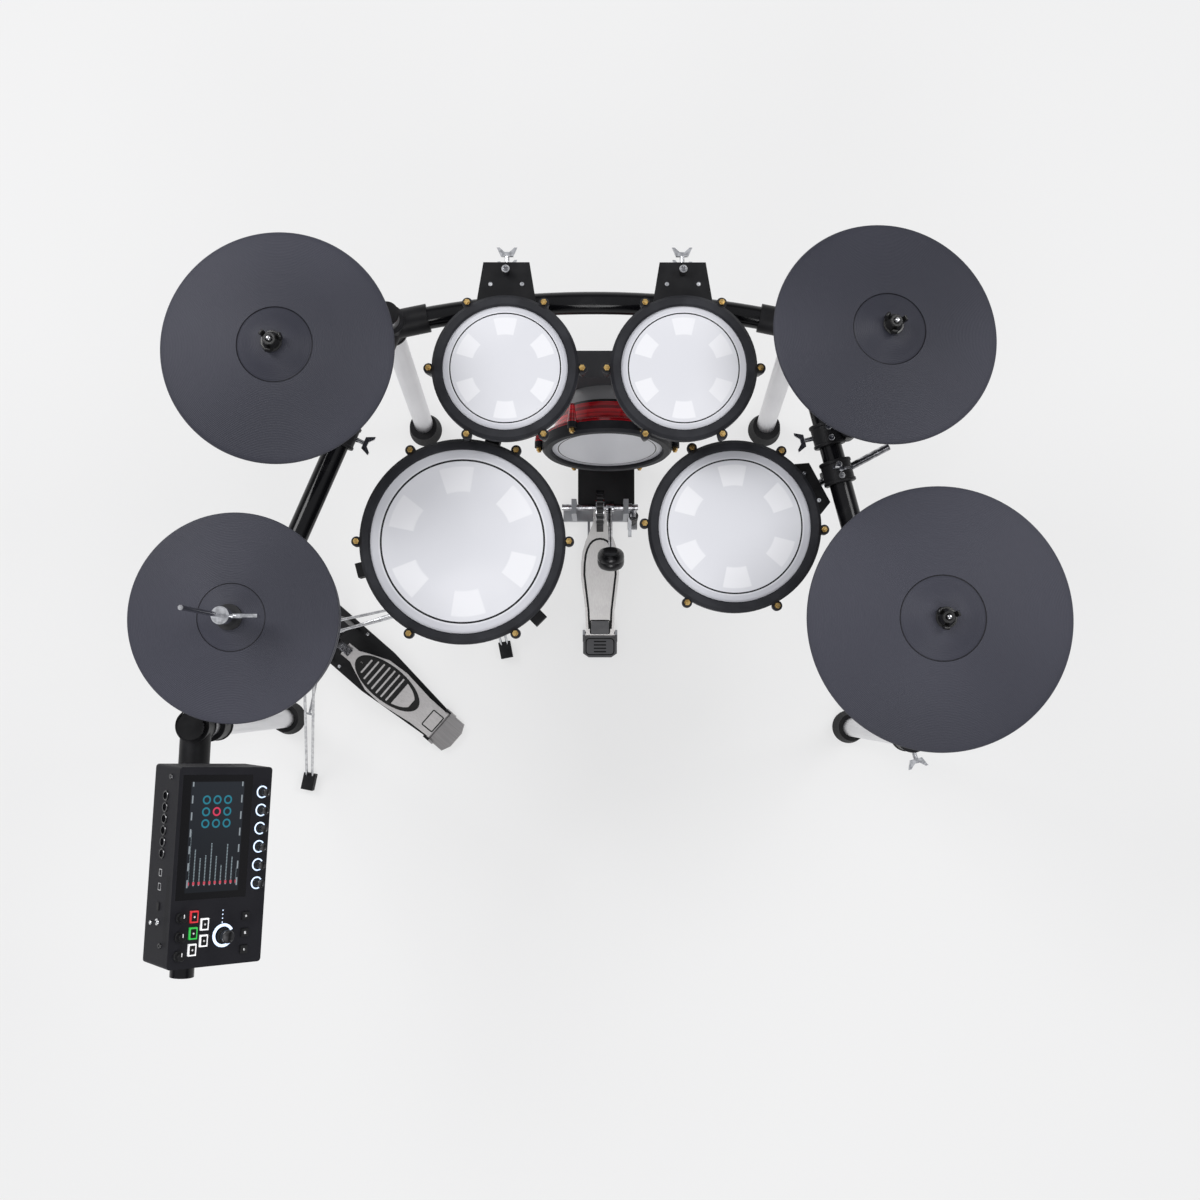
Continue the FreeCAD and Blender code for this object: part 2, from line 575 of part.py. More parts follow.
# The kick drum leans back on its tower, head towards the drummer.
lean = math.radians(float(d.kick_lean))
kick_face = Rotation(UP, Vector(0, -math.cos(lean), math.sin(lean)))
kick_place = Placement(at(d.kick_x, d.kick_y, d.kick_height), kick_face)
drum("kick", d.kick_radius, d.kick_depth, kick_place, 0)

# Kick tower: a folded steel plate behind the shell with a shelf, a floor plate and two round legs.
tower_back = d.kick_depth + d.fit_gap + d.tower_thickness
plate_low = -(float(d.kick_height) - float(tower_back) * math.sin(lean)) / math.cos(lean)
plate_high = float(d.kick_radius + d.hoop_wall)
plate_middle = Vector(0, (plate_low + plate_high) / 2, -float(tower_back))
back_place = kick_place.multiply(Placement(plate_middle, Rotation()))
plate = block("tower_plate", d.tower_width, plate_high - plate_low, d.tower_thickness, back_place)
foot_point = kick_place.multVec(Vector(0, plate_low, -float(tower_back)))
front = float(d.axle_y - d.datum_y + d.frame_post_depth / 2 + d.run_gap)
floor_plate = block("tower_floor", d.tower_width, foot_point.y - front, d.tower_thickness,
                    Placement(Vector(foot_point.x, (foot_point.y + front) / 2, 0), Rotation()))
shelf_foot = Placement(Vector(0, plate_high, -float(tower_back + d.tower_shelf)), Rotation())
shelf = block("tower_top", d.tower_width, d.tower_thickness, d.tower_shelf + d.tower_thickness,
              kick_place.multiply(shelf_foot))
ground = block("tower_ground", d.tower_width * 2, d.tower_width * 3, d.tower_width,
               Placement(Vector(foot_point.x, foot_point.y, -float(d.tower_width)), Rotation()))
tower_parts = [cut("tower_frame", fuse("tower_sheet", plate, floor_plate, shelf), ground)]
for side in (-1, 1):
    tag = "tower_leg_%d" % (side + 1)
    high = kick_place.multVec(Vector(float(d.tower_width / 2) * side, 0, -float(tower_back)))
    spread = Vector(float(d.tower_leg_spread) * side, float(d.tower_leg_reach), 0)
    low = Vector(high.x, high.y, float(d.foot_floor)) + spread
    leg = rod(tag, high - unit(low - high) * float(d.tower_leg_radius * 2), low, d.tower_leg_radius)
    half_space = block(tag + "_front", d.tower_width * 3, d.tower_width * 3, d.tower_width,
                       kick_place.multiply(Placement(UP * -float(tower_back + d.fit_gap), Rotation())))
    tower_parts.append(cut(tag + "_cut", leg, half_space))
    boot = cylinder(tag + "_boot", d.tower_boot_radius, d.leg_foot_length, Placement(
        Vector(low.x, low.y, 0), Rotation()))
    hole_end = low + unit(low - high) * float(d.fit_gap)
    hole = rod(tag + "_hole", hole_end, high, d.tower_leg_radius + d.fit_gap)
    feet.append(cut(tag + "_foot", boot, hole))
node("kick_tower", group("kick_tower_group", tower_parts))

# Footboards are waisted boards that turn on a pin between two ears of the heel plate; shares are of the
# length and the whole width.
BOARD_SHARES = ((0, 0.74), (0.2, 0.78), (0.48, 1), (0.66, 0.94), (0.82, 0.56), (0.9, 0.34), (1, 0.34))
EAR_SHARE = BOARD_SHARES[1][1] / 2


def hinge_pin(name, spot, heading, width, radius, extra=0):
    """A level pin across the heel, as long as the ears are apart."""
    run = bearing(heading)
    reach = float(width * EAR_SHARE + d.run_gap + d.ear_thickness + extra)
    across = Vector(-run.y, run.x, 0) * reach
    return rod(name, spot - across, spot + across, radius)


def hinge_ears(name, spot, heading, width):
    """The two ears beside a footboard's heel, before they are bored for the pin."""
    run = bearing(heading)
    inner = width * EAR_SHARE + d.run_gap
    foot = Vector(spot.x, spot.y, 0) - run * float(d.ear_length / 2 - d.knuckle_radius - d.ear_wall)
    ears = []
    for side in (-1, 1):
        across = Vector(-run.y, run.x, 0) * (float(inner + d.ear_thickness / 2) * side)
        ear_top = d.hinge_height + d.knuckle_radius + d.ear_wall
        ears.append(block("%s_%d" % (name, side), d.ear_length, d.ear_thickness, ear_top,
                          Placement(foot + across, turn(heading))))
    return ears


def footboard(name, spot, heading, rise, length, width, extras):
    """A footboard that points along heading, with its toe raised by rise degrees, on its hinge pin."""
    outline = [(length * x, width * (y / 2)) for x, y in BOARD_SHARES]
    outline += [(length * x, width * (y / -2)) for x, y in reversed(BOARD_SHARES)]
    lie = turn(heading).multiply(turn(-float(rise), Vector(0, 1, 0)))
    board = padded(name + "_board", outline, d.board_thickness, Placement(spot, lie))
    pin = hinge_pin(name + "_pin", spot, heading, width, d.knuckle_radius)
    return fuse(name, board, pin, *extras(Placement(spot, lie)))


# Kick pedal: a cast frame with two posts, a heel plate joined to it by two rods, an axle with cam, crank
# and beater, the footboard and a return spring between the crank and a seat on the frame.
axle = at(d.pedal_x, d.axle_y, d.axle_height)
hinge = at(d.pedal_x, d.pedal_heel_y + d.heel_length, d.hinge_height)
PEDAL_HEADING = 90
frame_middle = Vector(axle.x, axle.y, 0)
frame_width = d.frame_gap + d.frame_ends * 2
frame_base = block("pedal_frame_base", frame_width, d.frame_post_depth, d.frame_post_width, Placement(
    frame_middle, Rotation()))
spring_side = float(frame_width / 2 - d.spring_radius)
spring_middle = frame_middle + Vector(spring_side, -float(d.crank_reach), 0)
seat_depth = d.crank_reach + d.frame_post_depth / 2
seat_width = (d.spring_radius + d.spring_wire) * 2
spring_seat = block("pedal_spring_seat", seat_width, seat_depth, d.frame_post_width,
                    Placement(spring_middle, Rotation()))
pedal_solids = [frame_base, spring_seat]
holes = []
post_height = d.axle_height + d.frame_post_depth / 2
for side in (-1, 1):
    across = Vector(float(d.frame_gap + d.frame_post_width) / 2 * side, 0, 0)
    pedal_solids.append(block("pedal_post_%d" % side, d.frame_post_width / 2, d.frame_post_depth, post_height,
                              Placement(frame_middle + across, Rotation())))
    tie = Vector(float(d.heel_width) / 3 * side, 0, float(d.plate_lift + d.plate_thickness / 2))
    pedal_solids.append(rod("pedal_tie_%d" % side, frame_middle + tie, Vector(hinge.x, hinge.y, 0) + tie
                            - Vector(0, float(d.heel_length) / 2, 0), d.plate_thickness / 2))
heel_side = d.heel_width / 2
heel_corner = d.heel_corner - d.heel_length
heel_back = d.heel_width / 3
heel_outline = [(-heel_side, 0), (-heel_side, heel_corner), (-heel_back, -d.heel_length),
                (heel_back, -d.heel_length), (heel_side, heel_corner), (heel_side, 0)]
heel_spot = Placement(Vector(hinge.x, hinge.y - float(d.run_gap), 0), Rotation())
pedal_solids.append(padded("pedal_heel", heel_outline, d.hinge_height - d.run_gap, heel_spot))
axle_end = Vector(float(frame_width) / 2, 0, 0)
axle_hole = rod("pedal_axle_hole", axle - axle_end, axle + axle_end, d.axle_radius + d.fit_gap / 2)
pedal_solids += hinge_ears("pedal_ear", hinge, PEDAL_HEADING, d.pedal_board_width)
pin_hole = hinge_pin("pedal_pin_hole", hinge, PEDAL_HEADING, d.pedal_board_width,
                     d.knuckle_radius + d.knuckle_gap, d.overrun)
node("kick_pedal_base", cut("pedal_base", fuse("pedal_base_solid", *pedal_solids), axle_hole, pin_hole))

STRAP_SHARE = 0.82


def drive_strap(lie):
    """The strap that draws the cam down from the toe."""
    foot = lie.multVec(Vector(float(d.pedal_board) * STRAP_SHARE, 0, 0))
    strap_height = axle.z - foot.z - float(d.board_thickness)
    return [block("pedal_strap", d.cam_width, d.strap_thickness, strap_height, Placement(foot, Rotation()))]


node("kick_footboard", footboard("pedal_footboard", hinge, PEDAL_HEADING, d.pedal_board_rise, d.pedal_board,
                                 d.pedal_board_width, drive_strap))
rest = math.radians(float(d.beater_rest))
beater_run = Vector(0, -math.sin(rest), math.cos(rest))
beater_foot = axle + Vector(float(d.beater_x), 0, 0)
beater_middle = beater_foot + beater_run * float(d.beater_reach)
cam_half = Vector(float(d.cam_width) / 2, 0, 0)
node("beater_shaft", fuse(
    "beater_shaft_solid", rod("pedal_axle", axle - axle_end, axle + axle_end, d.axle_radius),
    rod("pedal_cam", axle - cam_half, axle + cam_half, d.cam_radius),
    rod("beater_clamp", beater_foot - cam_half, beater_foot + cam_half, d.axle_radius * 2),
    rod("spring_crank", Vector(spring_middle.x, axle.y, axle.z), spring_middle + UP * axle.z - Vector(
        0, float(d.crank_radius), 0), d.crank_radius),
    rod("beater_rod", beater_foot, beater_middle, d.beater_rod_radius)))
strike = Vector(0, math.cos(rest), math.sin(rest))
# Shares of the beater's radius and width, from its tail to its striking face
BEATER_SHARES = ((0, -0.5), (0.72, -0.5), (1, -0.3), (1, 0.34), (0.8, 0.5), (0, 0.5))
beater_face = [(d.beater_radius * out, d.beater_width * up) for out, up in BEATER_SHARES]
beater = turned("beater_block", beater_face, Placement(beater_middle, Rotation(UP, strike)))
beater_hole = rod("beater_hole", beater_foot, beater_middle + beater_run * float(d.fit_gap),
                  d.beater_rod_radius + d.fit_gap)
node("beater_head", cut("beater_head_cut", beater, beater_hole))

# Return spring: one tube wound through biarcs of a quarter turn.
SPRING_TURNS = 13
QUARTERS = 4


def biarc(start, start_run, end, end_run):
    """Two tangent arcs from one point and direction to another."""
    gap = end - start
    runs = start_run + end_run
    spread = 2 * (1 - start_run.dot(end_run))
    reach = (-gap.dot(runs) + math.sqrt(gap.dot(runs) ** 2 + spread * gap.dot(gap))) / spread
    joint = (start + end + (start_run - end_run) * reach) / 2
    return [arc_from(start, start_run, joint), arc_from(end, end_run * -1, joint, True)]


def arc_from(start, run, end, backwards=False):
    """An arc that leaves start along run and ends at end."""
    chord = end - start
    lean_out = run - unit(chord) * run.dot(unit(chord))
    sag = chord.Length / 2 * math.tan(run.getAngle(chord) / 2)
    middle = start + chord / 2 + unit(lean_out) * sag
    arc = Part.Arc(end, middle, start) if backwards else Part.Arc(start, middle, end)
    return arc.toShape()


spring_low = float(d.frame_post_width + d.run_gap + d.spring_wire)
spring_high = float(d.axle_height - d.crank_radius - d.run_gap - d.spring_wire)
pitch = (spring_high - spring_low) / SPRING_TURNS
helix = []
for step in range(SPRING_TURNS * QUARTERS + 1):
    angle = math.radians(90 * step)
    point = spring_middle + Vector(math.cos(angle), math.sin(angle), 0) * float(d.spring_radius)
    point.z = spring_low + pitch * step / QUARTERS
    run = Vector(-math.sin(angle), math.cos(angle), 0) * float(d.spring_radius) + UP * (pitch / (2 * math.pi))
    helix.append((point, unit(run)))
edges = []
for (start, start_run), (end, end_run) in zip(helix, helix[1:]):
    edges += biarc(start, start_run, end, end_run)
wire_section = Part.Wire(Part.Circle(helix[0][0], helix[0][1], float(d.spring_wire)).toShape())
spring = doc.addObject("Part::Feature", "pedal_spring")
spring.Shape = Part.Wire(edges).makePipeShell([wire_section], True, False)
print("spring least gap to itself %.2f mm" % (pitch - 2 * float(d.spring_wire)))
node("kick_spring", spring)


# Stands. A leg is a pair of bars that leaves the hub and closes into a rubber boot.
def tripod(name, middle, hub_height, reach, first_angle, tube_low, tube_high, tube_bore):
    """Centre tube, leg hub and three double-bar legs; returns the separate solids."""
    base = Vector(middle.x, middle.y, 0)
    hub_low = base + UP * (float(hub_height) - float(d.leg_hub_height) / 2)
    hub_high = hub_low + UP * float(d.leg_hub_height)
    tube = rod(name + "_tube", base + UP * float(tube_low), base + UP * float(tube_high), d.stand_tube_radius)
    if tube_bore:
        bore_top = base + UP * float(tube_high + d.overrun)
        tube = cut(name + "_tube_cut", tube, rod(name + "_tube_bore", base, bore_top, tube_bore))
    hub = cut(name + "_hub_cut", rod(name + "_hub", hub_low, hub_high, d.leg_hub_radius),
              rod(name + "_hub_bore", hub_low - UP * float(d.overrun), hub_high + UP * float(d.overrun),
                  d.stand_tube_radius + d.fit_gap))
    beyond = UP * float(d.leg_hub_height)
    core = rod(name + "_hub_core", hub_low - beyond, hub_high + beyond, d.leg_hub_radius + d.fit_gap)
    solids = [tube, hub]
    for leg in range(3):
        out = bearing(first_angle + 120 * leg)
        across = Vector(-out.y, out.x, 0)
        tag = "%s_leg_%d" % (name, leg)
        foot = base + out * float(reach) + UP * float(d.foot_floor)
        boot = block(tag + "_boot", d.leg_foot_length, d.leg_foot_width, d.leg_foot_height,
                     Placement(base + out * float(reach), turn(first_angle + 120 * leg)))
        holes = []
        for side in (-1, 1):
            top = base + UP * float(hub_height) + across * (float(d.leg_hub_radius) / 2 * side)
            end = foot + across * (float(d.leg_foot_radius) / 2 * side)
            bar = rod("%s_bar_%d" % (tag, side), top, end, d.leg_bar_radius / 2)
            solids.append(cut("%s_bar_cut_%d" % (tag, side), bar, core))
            run = unit(end - top)
            holes.append(rod("%s_bar_hole_%d" % (tag, side), top, end + run * float(d.fit_gap),
                             d.leg_bar_radius / 2 + d.fit_gap))
        feet.append(cut(tag + "_foot", boot, *holes))
    return solids


snare_foot = at(d.snare_x, d.snare_y, 0)
basket_top = d.snare_top - d.snare_depth - d.basket_drop
snare_solids = tripod("snare_stand", snare_foot, d.snare_leg_hub, d.snare_leg_radius,
                      d.snare_leg_angle.number, d.stand_foot_gap, basket_top - d.basket_hub_height, None)
hub_foot = snare_foot + UP * float(basket_top - d.basket_hub_height + d.fit_gap)
snare_solids.append(rod("basket_hub", hub_foot, snare_foot + UP * float(basket_top), d.basket_hub_radius))
grips = []
core_foot = hub_foot - UP * float(d.basket_hub_height)
core_top = snare_foot + UP * float(d.snare_top)
basket_core = rod("basket_core", core_foot, core_top, d.basket_hub_radius + d.fit_gap)
grip_out = float(d.snare_radius + d.flange_width - d.grip_bite + d.grip_depth / 4)
grip_top = float(d.snare_top - flange_under - d.grip_bite / 2 - d.run_gap)
for arm in range(3):
    out = bearing(d.basket_angle.number + 120 * arm)
    arm_level = float(basket_top - d.basket_hub_height / 2)
    elbow = snare_foot + out * grip_out + UP * arm_level
    tip = snare_foot + out * grip_out + UP * (grip_top - float(d.grip_height) / 2)
    inner = snare_foot + out * (float(d.basket_hub_radius) / 2) + UP * arm_level
    bar = bent_rod("basket_arm_%d" % arm, [inner, elbow, tip], d.basket_arm_radius, d.basket_bend)
    snare_solids.append(cut("basket_arm_cut_%d" % arm, bar, basket_core))
    grip = block("basket_grip_%d" % arm, d.grip_depth, d.grip_width, d.grip_height, Placement(
        snare_foot + out * (grip_out + float(d.grip_depth) / 4) + UP * (grip_top - float(d.grip_height)),
        turn(d.basket_angle.number + 120 * arm)))
    hole_top = tip + UP * float(d.fit_gap)
    hole = rod("basket_grip_hole_%d" % arm, elbow, hole_top, d.basket_arm_radius + d.fit_gap)
    grips.append(cut("basket_grip_cut_%d" % arm, grip, hole))
node("snare_stand", group("snare_stand_group", snare_solids))
node("snare_grips", group("snare_grips_group", grips))

# Hi-hat stand: tripod with a bored tube for the pull rod and a seat for the lower pad.
hihat_foot = at(d.hihat_x, d.hihat_y, 0)
top_pad_top = d.hihat_height
low_pad_top = top_pad_top - d.hihat_thickness - d.hihat_travel - d.felt_height - d.run_gap * 2
low_pad_under = low_pad_top - d.hihat_thickness
seat_low = low_pad_under - d.seat_height - d.fit_gap
hihat_solids = tripod("hihat_stand", hihat_foot, d.hihat_leg_hub, d.hihat_leg_radius,
                      d.hihat_leg_angle.number, d.hihat_tube_foot, seat_low, d.pull_rod_bore)
seat_foot = hihat_foot + UP * float(seat_low + d.fit_gap)
seat_top = hihat_foot + UP * float(seat_low + d.seat_height)
seat = rod("hihat_seat", seat_foot, seat_top, d.seat_radius)
rod_clear = rod("hihat_rod_clear", hihat_foot, hihat_foot + UP * float(d.pull_rod_top), d.pull_rod_bore)
hihat_solids.append(cut("hihat_seat_cut", seat, rod_clear))
node("hihat_stand", group("hihat_stand_group", hihat_solids))

# Pads of rubber over a stiff core. Shares are of the radius, and of the fall from the bell to the rim.
BOW_SHARES = ((0.13, 0), (0.24, 0.17), (0.33, 0.4), (0.365, 0.46), (0.97, 0.94), (1, 1))
RIM_SHARE = 0.7


def pad_outline(radius, hole, top, rise, thickness):
    """A cymbal-shaped pad's section: bell, bow, rounded rim and the underside."""
    upper = [(radius * x, top - rise * y) for x, y in BOW_SHARES]
    edge, fall = BOW_SHARES[4]
    rim = [(radius, top - rise - thickness * RIM_SHARE), (radius * edge, top - rise * fall - thickness)]
    under = [(radius * x, top - rise * y - thickness) for x, y in reversed(BOW_SHARES[:4])]
    return [(hole, top)] + upper + rim + under + [(hole, top - thickness)]


pad_place = Placement(hihat_foot, Rotation())
clutch_hole = d.clutch_sleeve + d.fit_gap
node("hihat_top_pad", turned("hihat_top", pad_outline(d.hihat_radius, clutch_hole, top_pad_top, d.hihat_rise,
                                                      d.hihat_thickness), pad_place))
LOW_PAD_SHARE = 0.96
low_outline = pad_outline(d.hihat_radius * LOW_PAD_SHARE, d.pull_rod_bore, low_pad_top, d.hihat_rise,
                          d.hihat_thickness)
node("hihat_bottom_pad", turned("hihat_bottom", low_outline, pad_place))

# Clutch: a flanged sleeve through the top pad with felts either side and a chrome grip with a wing screw.
felt_low = top_pad_top - d.hihat_thickness - d.felt_height
grip_low = top_pad_top + d.felt_height
rod_hole = d.pull_rod_radius + d.fit_gap
clutch = turned("hihat_clutch_sleeve", [
    (rod_hole, felt_low), (d.felt_radius, felt_low), (d.felt_radius, felt_low + d.felt_height - d.fit_gap),
    (d.clutch_sleeve, felt_low + d.felt_height - d.fit_gap), (d.clutch_sleeve, top_pad_top + d.fit_gap),
    (d.felt_radius, top_pad_top + d.fit_gap), (d.felt_radius, grip_low), (d.clutch_radius, grip_low),
    (d.clutch_radius, grip_low + d.clutch_height), (rod_hole, grip_low + d.clutch_height)], pad_place)
LEVER_SHARE = 0.7
clutch_side = hihat_foot + UP * float(grip_low + d.clutch_height / 2)
screw_end = Vector(float(d.clutch_radius + d.bolt_reach), 0, 0)
clutch_screw = rod("hihat_clutch_screw", clutch_side + screw_end / 3, clutch_side + screw_end, d.bolt_radius)
lever_out = float(d.clutch_radius + (d.bolt_reach + d.clutch_lever) / 2)
lever_foot = Vector(lever_out, 0, -float(d.clutch_lever) * LEVER_SHARE / 2)
clutch_wing = block("hihat_clutch_wing", d.clutch_lever, d.wing_thickness, d.clutch_lever * LEVER_SHARE,
                    Placement(clutch_side + lever_foot, Rotation()))
node("hihat_clutch", fuse("hihat_clutch_solid", clutch, clutch_screw, clutch_wing))

# Hi-hat pedal: a tapered floor plate with an arch round the tube's foot, a hinged footboard, and the
# pull rod whose foot link lies over the toe.
pedal_run = bearing(d.hihat_pedal_angle)
pedal_turn = turn(d.hihat_pedal_angle)
hihat_hinge = hihat_foot + pedal_run * float(d.hihat_hinge) + UP * float(d.hinge_height)
plate_far = d.hihat_hinge + d.heel_length
plate_half = d.hihat_plate_width / 2
plate_outline = [(-plate_half, -plate_half), (d.hihat_plate_width, -plate_half), (d.hihat_hinge, -heel_side),
                 (d.hihat_hinge, heel_side), (d.hihat_plate_width, plate_half), (-plate_half, plate_half)]
plate = padded("hihat_plate", plate_outline, d.plate_thickness, Placement(hihat_foot, pedal_turn))
heel_corner = d.heel_length - d.heel_corner
heel_outline = [(d.run_gap, -heel_side), (heel_corner, -heel_side), (d.heel_length, d.heel_width / -4),
                (d.heel_length, d.heel_width / 4), (heel_corner, heel_side), (d.run_gap, heel_side)]
heel_place = Placement(hihat_foot + pedal_run * float(d.hihat_hinge), pedal_turn)
heel = padded("hihat_heel", heel_outline, d.hinge_height - d.run_gap, heel_place)
heel_tongue = block("hihat_heel_tongue", d.heel_length, d.heel_width, d.plate_thickness, heel_place)
arch_side = d.hihat_board_width / 2
arch = [plate, heel, heel_tongue]
arch_top = d.hihat_tube_foot + d.leg_hub_height / 2
for side in (-1, 1):
    across = Vector(-pedal_run.y, pedal_run.x, 0) * (float(arch_side) * side)
    arch.append(block("hihat_arch_%d" % side, d.link_width * 2, d.plate_thickness, arch_top, Placement(
        hihat_foot + across, pedal_turn)))
arch.append(block("hihat_arch_top", d.link_width * 2, d.hihat_board_width, d.leg_hub_height / 2, Placement(
    hihat_foot + UP * float(d.hihat_tube_foot), pedal_turn)))
well_foot = hihat_foot + UP * float(d.hihat_tube_foot - d.overrun)
well_top = hihat_foot + UP * float(arch_top + d.overrun)
tube_well = rod("hihat_tube_well", well_foot, well_top, d.stand_tube_radius + d.fit_gap)
board_heading = d.hihat_pedal_angle.number + 180
arch += hinge_ears("hihat_ear", hihat_hinge, board_heading, d.hihat_board_width)
pin_hole = hinge_pin("hihat_pin_hole", hihat_hinge, board_heading, d.hihat_board_width,
                     d.knuckle_radius + d.knuckle_gap, d.overrun)
node("hihat_pedal_plate", cut("hihat_pedal_base", fuse("hihat_pedal_solid", *arch), tube_well, pin_hole))
node("hihat_footboard", footboard("hihat_board", hihat_hinge, board_heading, d.hihat_board_rise, d.hihat_toe,
                                  d.hihat_board_width, lambda lie: []))
toe_rise = math.radians(float(d.hihat_board_rise))
toe_lift = float(d.hihat_toe) * math.sin(toe_rise) + float(d.board_thickness) * math.cos(toe_rise)
toe_top = float(d.hinge_height) + toe_lift
link_low = toe_top + float(d.run_gap) * 2
toe_gap = float(d.hihat_hinge) - float(d.hihat_toe) * math.cos(toe_rise)
link = block("hihat_link", 2 * toe_gap, d.link_width, d.plate_thickness, Placement(
    hihat_foot + UP * link_low + pedal_run * (toe_gap / 2), pedal_turn))
pull_top = hihat_foot + UP * float(d.pull_rod_top)
pull_rod = rod("hihat_pull_rod", hihat_foot + UP * link_low, pull_top, d.pull_rod_radius)
node("hihat_rod", fuse("hihat_rod_solid", pull_rod, link))

# Cymbals rock on rubber balls at the tips of bent arms that clamp to the side tubes.
booms, sleeves, nuts = [], [], []
CYMBALS = {
    "left_crash": (d.left_crash_x, d.left_crash_y, d.rack_height + d.left_crash_rise, d.left_crash_clamp_y,
                   d.crash_radius, 0, "left_rear", left_run, 1),
    "right_crash": (d.right_crash_x, d.right_crash_y, d.rack_height + d.right_crash_rise,
                    d.right_crash_clamp_y, d.crash_radius, d.right_crash_lean, "right_rear", right_run, -1),
    "ride": (d.ride_x, d.ride_y, d.rack_height + d.ride_rise, d.ride_clamp_y, d.ride_radius, 0,
             "right_rear", right_run, -1),
}
NUT_LOBES = 3
for name, (x, y, height, clamp_y, radius, tip, post, run, side) in CYMBALS.items():
    pivot = at(x, y, height)
    face = turn(-float(tip), Vector(1, -1, 0))
    normal = face.multVec(UP)
    grip = corner[post] + run * ((at(0, clamp_y, 0).y - corner[post].y) / run.y)
    stand = grip + run.cross(UP) * (float(d.accessory_pitch) * side)
    accessory_clamp(name + "_clamp", grip, run, stand, UP, d.boom_radius)
    shoulder = pivot - normal * float(d.boom_neck)
    tip_point = pivot - normal * float(d.sleeve_drop + d.sleeve_length)
    knee = Vector(stand.x, stand.y, float(height - d.boom_rise))
    boom_points = [stand - UP * float(d.boom_foot), knee, shoulder, tip_point]
    boom = bent_rod(name + "_boom", boom_points, d.boom_radius, d.boom_bend)
    stem = rod(name + "_stem", tip_point, pivot + normal * float(d.stem_rise), d.stem_radius)
    booms.append(fuse(name + "_arm", boom, stem))
    ball = bind(doc.addObject("Part::Sphere", name + "_ball"), Radius=d.sleeve_ball)
    ball.Placement = Placement(pivot, Rotation())
    bush = rod(name + "_bush", tip_point + normal * float(d.fit_gap), pivot - normal * float(d.sleeve_drop),
               d.sleeve_radius)
    hole_foot = tip_point - normal * float(d.overrun)
    hole_top = pivot + normal * float(d.stem_rise * 2)
    stem_hole = rod(name + "_stem_hole", hole_foot, hole_top, d.stem_radius + d.fit_gap)
    sleeves.append(cut(name + "_sleeve", fuse(name + "_sleeve_solid", ball, bush), stem_hole))
    nut_low = pivot + normal * float(d.nut_lift)
    nut_high = nut_low + normal * float(d.nut_height)
    lobes = [rod(name + "_nut", nut_low, nut_high, d.nut_radius)]
    for lobe in range(NUT_LOBES):
        out = face.multVec(bearing(90 + 360 / NUT_LOBES * lobe)) * float(d.nut_radius)
        lobe_foot = nut_low + out + normal * float(d.nut_height / 4)
        lobes.append(rod("%s_lobe_%d" % (name, lobe), lobe_foot, nut_high + out, d.nut_lobe - d.nut_radius))
    nuts.append(cut(name + "_wing_nut", fuse(name + "_nut_solid", *lobes), stem_hole))
    half = d.cymbal_thickness / 2
    disc = pad_outline(radius, d.sleeve_ball + d.fit_gap, half, d.cymbal_rise, d.cymbal_thickness)
    node(name + "_pad", turned(name + "_disc", disc, Placement(pivot, face)))
node("cymbal_arms", group("cymbal_arms_group", booms))
node("cymbal_sleeves", group("cymbal_sleeves_group", sleeves))
node("wing_nuts", group("wing_nuts_group", nuts))

# Sound module. Its own frame has the front face at zero, X across the panel and Y along it.
module_face = turn(d.module_turn).multiply(turn(d.module_tilt, Vector(0, 1, 0)))
module_place = Placement(at(d.module_x, d.module_y, module_height), module_face)
# Panel places are shares of the width and the length, from the panel's middle.
ENCODER_SHARES = [(0.4, 0.372 - 0.0935 * index) for index in range(6)]
MAIN_SHARE = (0.07, -0.35)
POT_SHARES = [(-0.4, -0.245 - 0.094 * index) for index in range(3)]
LIT_SHARES = {"red": (-0.255, -0.245), "green": (-0.255, -0.327), "stop": (-0.255, -0.409),
              "tap": (-0.14, -0.286), "click": (-0.14, -0.368)}
DARK_SHARES = {"menu": (0.3, -0.26), "page": (0.3, -0.345), "back": (0.3, -0.43)}
SCREEN_SHARE = (-0.085, 0.15)
SCREEN_LENGTH_SHARE = 0.622
screen_length = d.module_length * SCREEN_LENGTH_SHARE


def on_panel(shares, lift):
    """A place over the panel, the given height above its face."""
    across, up = shares
    spot = Vector(float(d.module_width) * across, float(d.module_length) * up, float(lift))
    return module_place.multiply(Placement(spot, Rotation()))


case_body = doc.addObject("PartDesign::Body", "module_case_body")
case_sketch = outlined(case_body, "module_case_outline", "XY_Plane", [
    (d.module_width / -2, d.module_length / -2), (d.module_width / 2, d.module_length / -2),
    (d.module_width / 2, d.module_length / 2), (d.module_width / -2, d.module_length / 2)])
case_pad = case_body.newObject("PartDesign::Pad", "module_case_pad")
case_pad.Profile = case_sketch
bind(case_pad, Length=d.module_depth)
doc.recompute()
upright = ["Edge%d" % (index + 1) for index, edge in enumerate(case_pad.Shape.Edges)
           if abs(edge.tangentAt(edge.FirstParameter).z) > 0.5]
rounded = case_body.newObject("PartDesign::Fillet", "module_case_round")
rounded.Base = (case_pad, upright)
bind(rounded, Radius=d.case_round)
case_body.Placement = module_place.multiply(Placement(UP * -float(d.module_depth), Rotation()))
pockets = [block("screen_pocket", d.screen_width + d.fit_gap * 2, screen_length + d.fit_gap * 2,
                 d.screen_glass + d.overrun, on_panel(SCREEN_SHARE, -d.screen_glass - d.fit_gap))]
for name, shares in {**LIT_SHARES, **DARK_SHARES}.items():
    long = d.button_length if name in LIT_SHARES else d.small_button
    wide = d.button_width if name in LIT_SHARES else d.small_button
    sunk = d.button_height - d.button_proud
    cap = block(name + "_cap", wide, long, d.button_height, on_panel(shares, -sunk))
    well_depth = sunk + d.button_travel + d.run_gap
    pockets.append(block(name + "_pocket", wide + d.run_gap * 2, long + d.run_gap * 2,
                         well_depth + d.overrun, on_panel(shares, -well_depth)))
    node(name + "_button", cap)
JACKS = 6
